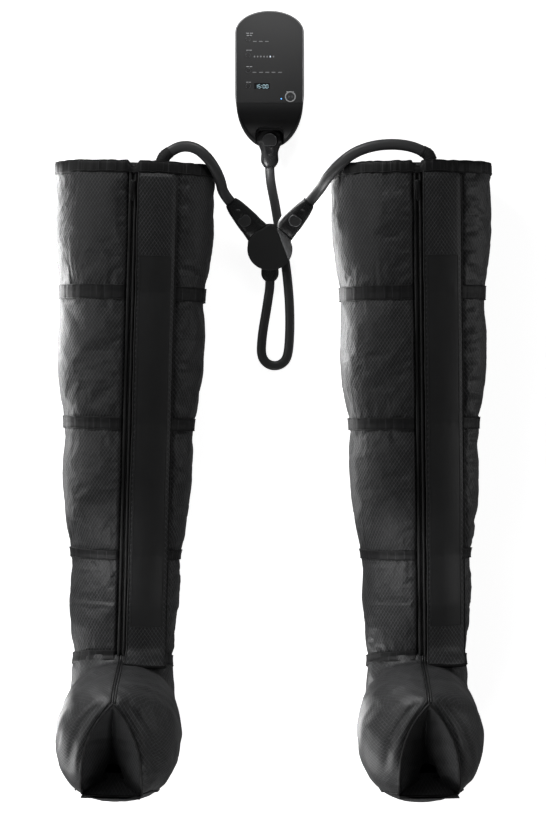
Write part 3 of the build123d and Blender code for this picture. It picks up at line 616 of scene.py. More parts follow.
# ------------------------------------------------------------------ boots: shape functions (mm, boot's own frame)
WALL, SECTION_N = 20.0, 2.1
RIM_Y = 360.0
TOP_H, LOW_H = 150.0, 120.0
SEAM_1, SEAM_2, SEAM_3 = 158.5, -46.0, -251.5
ANKLE_T, ANKLE_B = (-408.5, 120.0), (-434.7, -6.0)
HALF_WIDTH = np.array([(366, 125.9), (293, 125.7), (243, 123.8), (205, 119.4), (178, 115.6), (158.5, 115.2),
                       (142, 113.9), (110, 114.4), (79, 115.0), (54, 114.4), (16, 110.5), (-9, 107.4),
                       (-34, 104.0), (-46, 103.2), (-58, 102.2), (-67, 101.4), (-110, 101.5), (-148, 100.4),
                       (-186, 96.6), (-224, 91.0), (-241, 88.6), (-251.5, 87.0), (-262, 85.8), (-294, 85.0),
                       (-319, 85.1), (-351, 82.8), (-376, 80.2), (-401, 78.2), (-412, 79.0)])[::-1]
FOOT = [(-10, -578, -440, 74.0), (30, -604, -432, 84.0), (80, -627, -425, 92.0), (140, -637, -421, 97.0),
        (200, -634, -431, 97.0), (250, -624, -442, 92.5), (297, -606, -460, 78.0)]
HEEL = [((-440, 134), (-462, -8), 81.5), ((-485, 146), (-505, -8), 84.0)]
BOOTS = {"left": (-228.05, -1.585, 1.0, 4.5, 0.5, (46.0, 134.0), 43.0),
         "right": (221.3, 0.749, 6.0, -3.5, 4.0, (24.4, 137.0), -50.0)}


def hermite(table, x):
    """Smooth values through a table of (place, value) that ascends."""
    xs, ys = table[:, 0], table[:, 1]
    m = np.gradient(ys, xs)
    x = np.clip(np.asarray(x, float), xs[0], xs[-1])
    i = np.clip(np.searchsorted(xs, x) - 1, 0, len(xs) - 2)
    h = xs[i + 1] - xs[i]
    s = (x - xs[i]) / h
    return ((2 * s ** 3 - 3 * s ** 2 + 1) * ys[i] + (s ** 3 - 2 * s ** 2 + s) * h * m[i]
            + (-2 * s ** 3 + 3 * s ** 2) * ys[i + 1] + (s ** 3 - s ** 2) * h * m[i + 1])


def half_width(y):
    return hermite(HALF_WIDTH, y)


def ridge_line(y):
    return TOP_H + (np.asarray(y, float) - 343.0) * (TOP_H - LOW_H) / 753.0


def bulge(y):
    y = np.asarray(y, float)
    out = np.zeros_like(y)
    ends = [RIM_Y + 30, SEAM_1, SEAM_2, SEAM_3, -412.0]
    for a, b in zip(ends, ends[1:]):
        inside = (y <= a) & (y >= b)
        out = np.where(inside, 5.0 * np.sin(math.pi * (a - y) / (a - b)), out)
    return out


def section(y):
    """Top point, low point and half width of the boot's section at y, tilting towards the ankle."""
    y = np.asarray(y, float)
    k = smooth(-330.0, -408.5, y)                      # 0 up the leg, 1 at the ankle
    k = np.clip((y + 330.0) / (-408.5 + 330.0), 0, 1.25)
    ty, tz = y, ridge_line(y) + bulge(y)
    tz = tz * (1 - np.clip(k, 0, 1)) + np.clip(k, 0, 1) * (120.0 + np.maximum(0, -408.5 - y) * 0.44)
    by, bz = y - 26.2 * k, np.full_like(y, -6.0)
    return ty, tz, by, bz, half_width(y)


def ring(y, t, off=0.0, dx=0.0):
    """Point on the boot's outside at section y and angle t (90 degrees is the top), moved out by off."""
    ty, tz, by, bz, a = section(y)
    long = np.hypot(ty - by, tz - bz)
    uy, uz = (ty - by) / long, (tz - bz) / long
    cy, cz = (ty + by) / 2, (tz + bz) / 2
    b = long / 2 + off
    a = a + off
    c, s = np.cos(t), np.sin(t)
    x = a * np.sign(c) * np.abs(c) ** (2 / SECTION_N) + dx
    v = b * np.sign(s) * np.abs(s) ** (2 / SECTION_N)
    return np.stack(np.broadcast_arrays(x, cy + v * uy, cz + v * uz), -1)


def on_floor(P, low=0.6):
    """Flattens what would go below the floor."""
    z = P[..., 2]
    k = 4.0
    P[..., 2] = np.where(z < low + k, low + k * np.exp(np.clip((z - low - k) / k, -40, 0)), z)
    return P


def place(side, P):
    at_x, turn = BOOTS[side][:2]
    c, s = math.cos(math.radians(turn)), math.sin(math.radians(turn))
    P = np.asarray(P, float)
    out = np.empty_like(P)
    out[..., 0] = (at_x + FX + P[..., 0] * c - P[..., 1] * s) * MM
    out[..., 1] = (FY + P[..., 0] * s + P[..., 1] * c) * MM
    out[..., 2] = P[..., 2] * MM
    return out


NU = 300                                              # points round the boot
T = np.linspace(-math.pi / 2, 1.5 * math.pi, NU, endpoint=False)


def arc_from_zip(P, zip_dx):
    """Distance round the surface from the zip's line, the same both ways; P is (NU, n, 3)."""
    q = P[:, P.shape[1] // 2]
    step = np.linalg.norm(np.roll(q, -1, 0) - q, axis=1)
    at = np.concatenate([[0], np.cumsum(step)[:-1]])
    top = (q[:, 2] > 40)
    i = np.where(top)[0][np.argmin(np.abs(q[top][:, 0] - zip_dx))]
    # exact place between two points
    d = at - at[i] + (q[i, 0] - zip_dx) * -1.0
    return d


def groove_at(x, zip_dx, z):
    """1 in the zip's groove, 0 clear of it."""
    return (1 - smooth(5.8, 11.5, np.abs(x - zip_dx))) * (z > 60)


SEAMS = {"rim": 352.0, "one": SEAM_1, "two": SEAM_2, "three": SEAM_3, "ankle": -408.5}


def simulate(name, P, pin, grow, pressure, frames=16):
    """Cloth run on an open ring of fabric, pinned at its seams. Returns the moved points."""
    nu, nv = P.shape[:2]
    o = mesh_of(name, P.reshape(-1, 3), grid_faces(nu, nv, True, False), None, shade=False)
    vg = o.vertex_groups.new(name="pin")
    for w in np.unique(pin):
        if w > 0:
            vg.add(np.where(pin.ravel() == w)[0].tolist(), float(w), "REPLACE")
    m = o.modifiers.new("cloth", "CLOTH")
    st = m.settings
    st.quality = 4
    st.mass = 0.12
    st.tension_stiffness = st.compression_stiffness = 22
    st.shear_stiffness = 9
    st.bending_stiffness = 0.35
    st.tension_damping = st.compression_damping = 12
    st.shear_damping = 12
    st.bending_damping = 2.0
    st.air_damping = 4.0
    st.vertex_group_mass = "pin"
    st.shrink_min = -grow
    st.use_pressure = True
    st.uniform_pressure_force = pressure
    st.effector_weights.gravity = 0.0
    m.collision_settings.use_collision = False
    m.collision_settings.use_self_collision = False
    m.point_cache.frame_start, m.point_cache.frame_end = 1, frames + 1
    for f in range(1, frames + 1):
        scene.frame_set(f)
    dg = bpy.context.evaluated_depsgraph_get()
    e = o.evaluated_get(dg)
    co = np.zeros(len(e.data.vertices) * 3, np.float32)
    e.data.vertices.foreach_get("co", co)
    out = co.reshape(nu, nv, 3).astype(float)
    bpy.data.objects.remove(o)
    scene.frame_set(1)
    return out


def cell(side, key, y0, y1, ny, seed):
    """One inflated ring chamber between the seams at y0 (upper) and y1, closed round its wall."""
    zip_dx = BOOTS[side][2]
    rows = y0 + (y1 - y0) * np.linspace(0, 1, ny)
    rows_in = y1 + (y0 - y1) * np.linspace(0.06, 0.94, 12)
    Tg, Y = np.meshgrid(T, rows, indexing="ij")
    d0, d1 = y0 - Y, Y - y1
    d = np.minimum(d0, d1)
    base = ring(Y, Tg)
    u = arc_from_zip(base, zip_dx)[:, None] + 0 * Y
    au = np.abs(u)
    # pulled in under the seams, full between them
    off = -3.2 * np.exp(-d / 7.0) - 1.2 * np.exp(-d / 26.0) + 0.6
    # soft unevenness of the fill
    off += 1.5 * noise2(u, Y, 52.0, 46.0, seed) * smooth(4, 40, d)
    off += 0.7 * noise2(u, Y, 21.0, 30.0, seed + 1) * smooth(2, 25, d)
    # gathers that run out of each seam
    for dist, s in ((d0, seed + 2), (d1, seed + 3)):
        reach = 9.0 + 15.0 * np.abs(noise1(u, 17.0, s + 40))
        lean = 0.10 * dist * noise1(u, 45.0, s + 50)
        g = 0.9 * noise1(u + lean, 4.6, s) + 0.8 * noise1(u + lean, 9.5, s + 10)
        off += 1.25 * g * np.exp(-dist / reach) * (1 - np.exp(-dist / 2.0))
    # pillow beside the sewn edge of the flap
    fx = base[..., 0] - zip_dx
    top = base[..., 2] > 60
    lump = np.exp(-((fx - 82.0) / 9.0) ** 2) * top
    off += lump * (0.6 + 1.6 * noise1(Y, 15.0, seed + 7) + 0.8 * noise1(Y, 7.0, seed + 8)) * smooth(0, 20, d)
    off -= 3.0 * np.exp(-((fx - 69.0) / 4.0) ** 2) * top
    # and down each side of the zip
    off += np.exp(-((np.abs(fx) - 15.0) / 6.0) ** 2) * top * (0.8 * noise1(Y + 4 * np.sign(fx), 8.0, seed + 9)) * (fx < 0)
    P = ring(Y, Tg, off)
    P[..., 2] -= groove_at(P[..., 0], zip_dx, P[..., 2]) * (4.6 + 0.9 * bulge(Y))
    # under the flap the fabric lies flat
    under = smooth(8.0, 14.0, fx) * (1 - smooth(60.0, 66.0, fx)) * top
    P[..., 2] -= 1.6 * under
    P = on_floor(P)
    step_u, step_v = 2, 2
    Q = P[::step_u, ::step_v]
    if (ny - 1) % step_v:
        raise ValueError("rows don't divide")
    qd, qx, qz = d[::step_u, ::step_v], fx[::step_u, ::step_v], Q[..., 2]
    pin = np.zeros(Q.shape[:2])
    pin[qd < 5.0] = 1.0
    pin[(np.abs(qx) < 12.5) & (qz > 60)] = 1.0
    pin[(np.abs(qx - 69) < 4.0) & (qz > 60)] = 1.0
    pin[qz < 6.0] = 1.0
    W = place(side, Q)
    moved = simulate("sim", W, pin, 0.014, 3.0) - W
    # from the world's frame back to the boot's
    c, s_ = math.cos(math.radians(BOOTS[side][1])), math.sin(math.radians(BOOTS[side][1]))
    mv = np.stack([moved[..., 0] * c + moved[..., 1] * s_, -moved[..., 0] * s_ + moved[..., 1] * c, moved[..., 2]], -1) / MM
    size = np.linalg.norm(mv, axis=-1, keepdims=True)
    mv *= 0.75 * np.minimum(1.0, 2.6 / np.maximum(size, 1e-9))
    # spread to the finer grid
    iu = np.arange(NU) / step_u
    iv = np.arange(ny) / step_v
    a0 = np.floor(iu).astype(int)
    fu = (iu - a0)[:, None, None]
    b0 = np.minimum(np.floor(iv).astype(int), mv.shape[1] - 2)
    fv = (iv - b0)[None, :, None]
    a1 = (a0 + 1) % mv.shape[0]
    M4 = (mv[a0][:, b0] * (1 - fu) + mv[a1][:, b0] * fu) * (1 - fv) + (mv[a0][:, b0 + 1] * (1 - fu) + mv[a1][:, b0 + 1] * fu) * fv
    flap_zone = (smooth(7.0, 12.0, fx) * (1 - smooth(62.0, 68.0, fx)) * top)[..., None]
    P = on_floor(P + M4 * (1 - 0.85 * flap_zone))
    # inner wall
    Ti, Yi = np.meshgrid(T, rows_in, indexing="ij")
    di = np.minimum(y0 - Yi, Yi - y1)
    off_in = -WALL + 3.0 * np.exp(-di / 9.0) - 1.5 + 1.2 * noise2(Ti * 95.0, Yi, 30.0, 24.0, seed + 20) * smooth(2, 20, di)
    Pin = ring(Yi, Ti, off_in)
    Pin = on_floor(Pin, 12.0)
    full = np.concatenate([P, Pin], 1)
    pu = np.abs(np.concatenate([u, u[:, :1] + 0 * Yi], 1))
    pv = np.concatenate([Y, Yi], 1)
    o = grid("%s_%s_cell" % (side, key), place(side, full), MAT["ripstop"], True, True, attrs={"pu": pu, "pv": pv})
    outward(o)
    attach(o, side + "_leg")
    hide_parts("%s_%s_chamber" % (side, key))
    return o


def band(side, key, y_mid, half, seed, proud=1.9, lines=True):
    """Gathered tape sewn round the boot over a seam between two chambers."""
    zip_dx = BOOTS[side][2]
    s = np.linspace(-1, 1, 13)
    Tg, S = np.meshgrid(T, s, indexing="ij")
    base = ring(y_mid + 0 * S, Tg)
    u = arc_from_zip(base, zip_dx)[:, None] + 0 * S
    wob = 0.35 * noise1(u, 23.0, seed + 5)
    Y = y_mid + S * (half + 0.3 * noise1(u, 8.0, seed + 6)) + wob
    g = 0.45 * noise1(u + 0.8 * S, 3.6, seed) + 0.3 * noise1(u - 1.0 * S, 7.0, seed + 1)
    off = proud * (1 - np.abs(S) ** 6 * 0.9) - 0.8 * (1 - S ** 2) + g * (0.55 + 0.45 * np.abs(S))
    tuck = np.where(np.abs(S) > 0.99, -2.2, 0.0)
    P = ring(Y, Tg, off + tuck)
    P[..., 2] -= groove_at(P[..., 0], zip_dx, P[..., 2]) * (4.2 + 0.9 * bulge(Y) + proud)
    fx = P[..., 0] - zip_dx
    under = smooth(7.0, 12.0, fx) * (1 - smooth(62.0, 68.0, fx)) * (P[..., 2] > 60)
    P[..., 2] -= 1.2 * under
    P = on_floor(P, 0.4)
    parts = [grid("b", place(side, P), MAT["binding"], True, False, attrs={"pu": np.abs(u), "pv": u})]
    if lines:
        for j in (1, 11):
            ln = P[:, j].copy()
            ln[:, 2] += np.where(ln[:, 2] > 3, 0.25, 0.0)
            out = ring(Y[:, j], T, off[:, j] + 0.25)
            out[:, 2] -= groove_at(out[:, 0], zip_dx, out[:, 2]) * (4.2 + 0.9 * bulge(Y[:, j]) + proud)
            fxl = out[:, 0] - zip_dx
            out[:, 2] -= 1.2 * smooth(7.0, 12.0, fxl) * (1 - smooth(62.0, 68.0, fxl)) * (out[:, 2] > 60)
            out = on_floor(out, 0.9)
            t = tube("e", place(side, out), 0.62 * MM, MAT["binding_edge"], 6, True)
            at = t.data.attributes.new("pv", "FLOAT", "POINT")
            at.data.foreach_set("value", np.repeat(u[:, j], 6).astype(np.float32))
            parts.append(t)
    return parts


def rim(side, seed):
    """Binding round the boot's open top, with a notch where the zip starts."""
    zip_dx = BOOTS[side][2]
    prof = [(343.0, 0.2), (343.6, 1.2), (346.0, 1.9), (350.0, 2.0), (355.0, 2.1), (359.0, 1.9), (361.6, 1.0), (362.9, -1.0),
            (363.5, -5.0), (363.7, -10.0), (363.5, -15.0), (362.6, -19.0), (360.0, -21.3), (355.0, -22.0), (349.0, -22.0),
            (348.4, -21.0), (350.0, -19.5), (358.0, -14.0), (358.0, -6.0), (352.0, -1.5)]
    yp = np.array([p[0] for p in prof])
    op = np.array([p[1] for p in prof])
    Tg, K = np.meshgrid(T, np.arange(len(prof)), indexing="ij")
    base = ring(352.0 + 0.0 * K, Tg)
    u = arc_from_zip(base, zip_dx)[:, None] + 0.0 * K
    shown = (K < 15)
    g = 0.85 * noise1(u + 0.4 * K, 3.3, seed) + 0.6 * noise1(u - 0.3 * K, 7.3, seed + 1)
    Y = yp[K] + (0.7 * noise1(u, 6.0, seed + 2) + 0.6 * noise1(u, 17.0, seed + 3)) * shown
    off = op[K] + g * shown * np.where(K < 8, 0.85, 0.5)
    fx0 = base[..., 0] - zip_dx
    notch = (1 - smooth(3.5, 9.5, np.abs(fx0))) * (base[..., 2] > 60)
    Y = Y - notch * 8.5 * smooth(343.5, 352.0, Y)
    P = ring(Y, Tg, off)
    P[..., 2] -= groove_at(P[..., 0], zip_dx, P[..., 2]) * 2.6 * (K < 9)
    P = on_floor(P, 0.4)
    o = outward(grid("r", place(side, P), MAT["binding"], True, True, attrs={"pu": np.abs(u), "pv": u}))
    parts = [o]
    for kk, r in ((2, 0.5), (6, 0.55)):
        out = P[:, kk].copy()
        lift = ring(Y[:, kk], T, off[:, kk] + 0.25)
        lift[:, 2] -= groove_at(lift[:, 0], zip_dx, lift[:, 2]) * 2.6
        lift = on_floor(lift, 0.9)
        t = tube("e", place(side, lift), r * MM, MAT["binding_edge"], 6, True)
        at = t.data.attributes.new("pv", "FLOAT", "POINT")
        at.data.foreach_set("value", np.repeat(u[:, kk], 6).astype(np.float32))
        parts.append(t)
    o = joined(side + "_rim_tape", parts)
    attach(o, side + "_leg")
    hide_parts(side + "_rim_binding")
    return o


def strip_along(side, x0, x1, y0, y1, low, high, mat, seed, wave=0.35, n=260, seg=9):
    """A soft rounded strip parallel to the zip."""
    ys = np.linspace(y0, y1, n)
    xm, hx = (x0 + x1) / 2, (x1 - x0) / 2
    a = np.linspace(0, 2 * math.pi, 14, endpoint=False)
    Y, A = np.meshgrid(ys, a, indexing="ij")
    wide = 1 + 0.04 * noise1(Y, 6.0, seed)
    side_shift = wave * noise1(Y, 24.0, seed + 1)
    e = 2 / 2.6
    X = xm + side_shift + hx * wide * np.sign(np.cos(A)) * np.abs(np.cos(A)) ** e
    hz = (high - low) / 2
    Z = ridge_line(Y) + (high + low) / 2 + hz * np.sign(np.sin(A)) * np.abs(np.sin(A)) ** e + 0.3 * noise1(Y, 5.0, seed + 2) * (np.sin(A) > 0)
    P = np.stack([X, Y, Z], -1)
    Pw = place(side, P)
    m = len(ys)
    faces = [tuple(f) for f in grid_faces(m, 14, False, True).tolist()] + [tuple(range(14)), tuple(reversed(range((m - 1) * 14, m * 14)))]
    o = mesh_of("s", Pw.reshape(-1, 3), faces, mat, {"pv": Y.ravel(), "pu": X.ravel()})
    return outward(o)


def zip_line(side, seed):
    """Zip: tape in the groove, a bound edge each side, coil between them."""
    zip_dx = BOOTS[side][2]
    parts = [strip_along(side, zip_dx - 6.5, zip_dx + 6.5, 350, -409, -4.0, -2.0, MAT["piping"], seed, 0.0, 120)]
    parts.append(strip_along(side, zip_dx - 6.6, zip_dx - 1.35, 345, -409, -3.0, 1.15, MAT["piping"], seed + 3, 0.10, 420))
    parts.append(strip_along(side, zip_dx + 1.35, zip_dx + 6.4, 345, -409, -3.0, 1.05, MAT["piping"], seed + 6, 0.10, 420))
    # coil: one small link every 2.2 mm, from alternate sides
    verts, faces = [], []
    for k in range(int((346 + 408) / 2.2)):
        y = 346 - 2.2 * k
        s = 1 if k % 2 else -1
        x0, x1 = zip_dx - 0.5 * s, zip_dx + 1.7 * s
        z = float(ridge_line(y)) - 0.9
        b = len(verts)
        for x, w, h in ((x0, 0.55, 0.5), (x0 + 0.5 * s, 0.75, 0.75), (x1, 0.5, 0.55)):
            for dy, dz in ((-w, 0), (0, h), (w, 0), (0, -h)):
                verts.append((x, y + dy, z + dz))
        for i in (0, 4):
            for j in range(4):
                j1 = (j + 1) % 4
                faces.append((b + i + j, b + i + j1, b + i + 4 + j1, b + i + 4 + j))
        faces.append((b, b + 1, b + 2, b + 3))
        faces.append((b + 11, b + 10, b + 9, b + 8))
    coil = outward(mesh_of("c", place(side, np.array(verts)), faces, MAT["zip"]))
    parts.append(coil)
    o = joined(side + "_zip_and_edges", parts)
    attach(o, side + "_leg")
    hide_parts(side + "_zip_track")
    return o


def slider(side):
    """Zip slider: waisted body, bridge and a rounded pull with a hole."""
    zip_dx = BOOTS[side][2]
    tilt = 30.0 / 753.0

    def lift(y, h):
        return float(ridge_line(y)) + h

    verts, faces = [], []

    def plate(outline, h0, h1):
        b = len(verts)
        n = len(outline)
        for h, grow in ((h0, 0.92), (h0 + 0.3 * (h1 - h0), 1.0), (h0 + 0.75 * (h1 - h0), 1.0), (h1, 0.86)):
            cx = sum(p[0] for p in outline) / n
            cy = sum(p[1] for p in outline) / n
            for x, y in outline:
                xx, yy = cx + (x - cx) * grow, cy + (y - cy) * grow
                verts.append((xx, yy, lift(yy, h)))
        for i in range(3):
            for j in range(n):
                j1 = (j + 1) % n
                faces.append((b + i * n + j, b + i * n + j1, b + (i + 1) * n + j1, b + (i + 1) * n + j))
        faces.append(tuple(b + j for j in reversed(range(n))))
        faces.append(tuple(b + 3 * n + j for j in range(n)))

    body = []
    for k in range(24):
        a = 2 * math.pi * k / 24
        c, s = math.cos(a), math.sin(a)
        y = 323.5 + 8.6 * math.copysign(abs(s) ** 0.7, s)
        x = zip_dx + (4.9 - 0.9 * (1 - abs(s))) * math.copysign(abs(c) ** 0.6, c) * (1.0 + 0.10 * s)
        body.append((x, y))
    plate(body, 1.0, 3.9)
    bridge = [(zip_dx + 1.5 * math.copysign(abs(math.cos(a)) ** 0.5, math.cos(a)), 323.5 + 6.4 * math.copysign(abs(math.sin(a)) ** 0.5, math.sin(a)))
              for a in [2 * math.pi * k / 16 for k in range(16)]]
    plate(bridge, 3.6, 5.2)
    # pull as a ring shape with a slot
    n = 40
    b = len(verts)
    for h, g in ((5.15, 0.0), (5.3, 0.35), (6.4, 0.35), (6.65, 0.0)):
        for k in range(n):
            a = 2 * math.pi * k / n
            c, s = math.cos(a), math.sin(a)
            ex, ey = math.copysign(abs(c) ** 0.5, c), math.copysign(abs(s) ** 0.62, s)
            x, y = zip_dx + (2.9 + g) * ex, 312.6 + (12.6 + g) * ey
            verts.append((x, y, lift(y, h)))
    for h, g in ((6.65, 0.0), (6.4, -0.3), (5.3, -0.3), (5.15, 0.0)):
        for k in range(n):
            a = 2 * math.pi * k / n
            c, s = math.cos(a), math.sin(a)
            x, y = zip_dx + (1.3 + g) * c, 306.5 + (3.4 + g) * s
            verts.append((x, y, lift(y, h)))
    for i in range(8):
        i1 = (i + 1) % 8
        for j in range(n):
            j1 = (j + 1) % n
            faces.append((b + i * n + j, b + i * n + j1, b + i1 * n + j1, b + i1 * n + j))
    o = outward(mesh_of(side + "_slider_and_pull", place(side, np.array(verts)), faces, MAT["slider"]))
    m = o.modifiers.new("soft edges", "BEVEL")
    m.width, m.segments, m.limit_method = 0.00018, 2, "ANGLE"
    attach(o, side + "_zip")
    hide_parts(side + "_zip_slider")
    return o


def top_height(x, y):
    """Height of the boot's outside over (x, y), before any fabric detail."""
    ty, tz, by, bz, a = section(y)
    h = tz
    b, zc = (h + 6) / 2, (h - 6) / 2
    return zc + b * (1 - np.minimum(0.999, np.abs(x) / a) ** SECTION_N) ** (1 / SECTION_N)


def flap(side, seed):
    """Cover flap sewn beside the zip: bare panel in the middle, ripstop at its ends, bound edges."""
    zip_dx = BOOTS[side][2]
    nx, ny = 34, 300
    xs = np.linspace(8.6, 68.5, nx)
    y_end = -419.5
    ys = np.concatenate([np.linspace(350, -390, ny - 30), np.linspace(-392.0, y_end, 30)])
    X, Y = np.meshgrid(xs, ys, indexing="ij")
    s = (X - 8.6) / 59.9
    Y2 = Y - (s * 5.0) * smooth(-380.0, y_end, Y)       # the free end runs slightly down to the right
    Xl = X + zip_dx + (1 - s) * (0.5 * noise1(Y, 21.0, seed) - 2.0 * smooth(-395.0, y_end, Y))
    yc = np.maximum(Y2, -415.0)
    Z = top_height(Xl, yc) + 3.3
    # it bridges the low places at the seams a little, and lies down at its sewn edge
    Z += 0.8 * np.sin(np.pi * s) + 0.35 * noise2(X, Y, 24.0, 40.0, seed + 1)
    Z -= 2.2 * smooth(0.86, 1.0, s)
    # seams' gathers come through softly
    for y_s in (SEAM_1, SEAM_2, SEAM_3):
        Z += 0.45 * noise1(X, 7.0, seed + 3 + int(y_s)) * np.exp(-np.abs(Y - y_s) / 8.0)
    # the free end curls up and outward
    Z -= 3.9 * smooth(337.0, 346.0, Y)
    curl = smooth(-390.0, y_end, Y)
    Z += curl ** 1.7 * (15.0 - 3.0 * s) + 0.5 * noise1(X, 11.0, seed + 9) * curl
    t = 1.5
    up = np.stack([Xl, Y2, Z], -1)
    Pw = place(side, up)
    pv = Y
    # the panel's own material between y = 215 and -362, clear of the edges
    P3 = grid("f", Pw, MAT["ripstop"], flip=False, attrs={"pu": np.abs(X - 36.0), "pv": pv})
    me = P3.data
    me.materials.append(MAT["panel"])
    me.materials.append(MAT["binding"])
    cen = np.array([p.center for p in me.polygons])
    yc_f = np.array([pv.ravel()[p.vertices[0]] for p in me.polygons])
    xc_f = np.array([X.ravel()[p.vertices[0]] for p in me.polygons])
    idx = np.zeros(len(me.polygons), int)
    idx[(yc_f < 216) & (yc_f > -362) & (xc_f > 10.5) & (xc_f < 61.5)] = 1
    idx[xc_f >= 61.5] = 0
    me.polygons.foreach_set("material_index", idx.tolist())
    if me.polygons[0].normal.z < 0:
        me.flip_normals()
    sol = P3.modifiers.new("cloth thickness", "SOLIDIFY")
    sol.thickness, sol.offset = t * MM, -1.0
    dg = bpy.context.evaluated_depsgraph_get()
    solid = bpy.data.meshes.new_from_object(P3.evaluated_get(dg))
    bpy.data.objects.remove(P3)
    o = link(bpy.data.objects.new(side + "_flap_sheet", solid))
    # bound edges: along the zip and round the free end; seam lines of the panel
    lines = []

    def along(cols, mat, r, lift, closed=False):
        pts = np.array(cols, float)
        pts[:, 2] += lift
        tb = tube("l", place(side, pts), r * MM, mat, 8)
        at = tb.data.attributes.new("pv", "FLOAT", "POINT")
        at.data.foreach_set("value", np.repeat(np.cumsum(np.r_[0, np.linalg.norm(np.diff(pts, axis=0), axis=1)]), 8).astype(np.float32))
        lines.append(tb)

    edge = up[0]
    along(edge[:-1], MAT["piping"], 1.5, -0.6)
    # the free end's bound edge: thick, pushed down and out, its tape darkened as painted shade below the curl
    along(up[:, -1] + np.array([0.0, -1.9, 0.0]), MAT["bound_end"], 2.7, -2.6)
    along(up[-1], MAT["piping"], 1.1, 0.2)
    i1 = 3
    i2 = int(np.argmin(np.abs(xs - 61.5)))
    j1, j2 = int(np.argmin(np.abs(ys - 216))), int(np.argmin(np.abs(ys + 362)))
    along(up[i1, j1:j2 + 1], MAT["thread"], 0.35, 0.1)
    along(up[i2, j1:j2 + 1], MAT["thread"], 0.45, 0.1)
    along(up[i1:i2 + 1, j1], MAT["thread"], 0.45, 0.1)
    along(up[i1:i2 + 1, j2], MAT["thread"], 0.45, 0.1)
    trim = joined(side + "_flap_edges", lines)
    hinge = place(side, np.array([[zip_dx + 68.0, 0.0, 130.0], [zip_dx + 60.0, 0.0, 130.0]]))
    for x in (o, trim):
        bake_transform(x, side + "_leg", side + "_flap", tuple(hinge[0]), tuple(hinge[1]))
    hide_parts(side + "_cover_flap")
    return o


# ------------------------------------------------------------------ foot
MOUTH = np.array([(-603.0, 44.5), (-585.0, 44.6), (-566.0, 43.8), (-551.0, 42.6), (-535.0, 39.6), (-520.0, 35.4), (-505.0, 29.0),
                  (-492.0, 22.0), (-480.0, 13.5), (-471.0, 6.0), (-465.0, 0.0)])


def mouth_half(y):
    return np.interp(y, MOUTH[:, 0], MOUTH[:, 1])


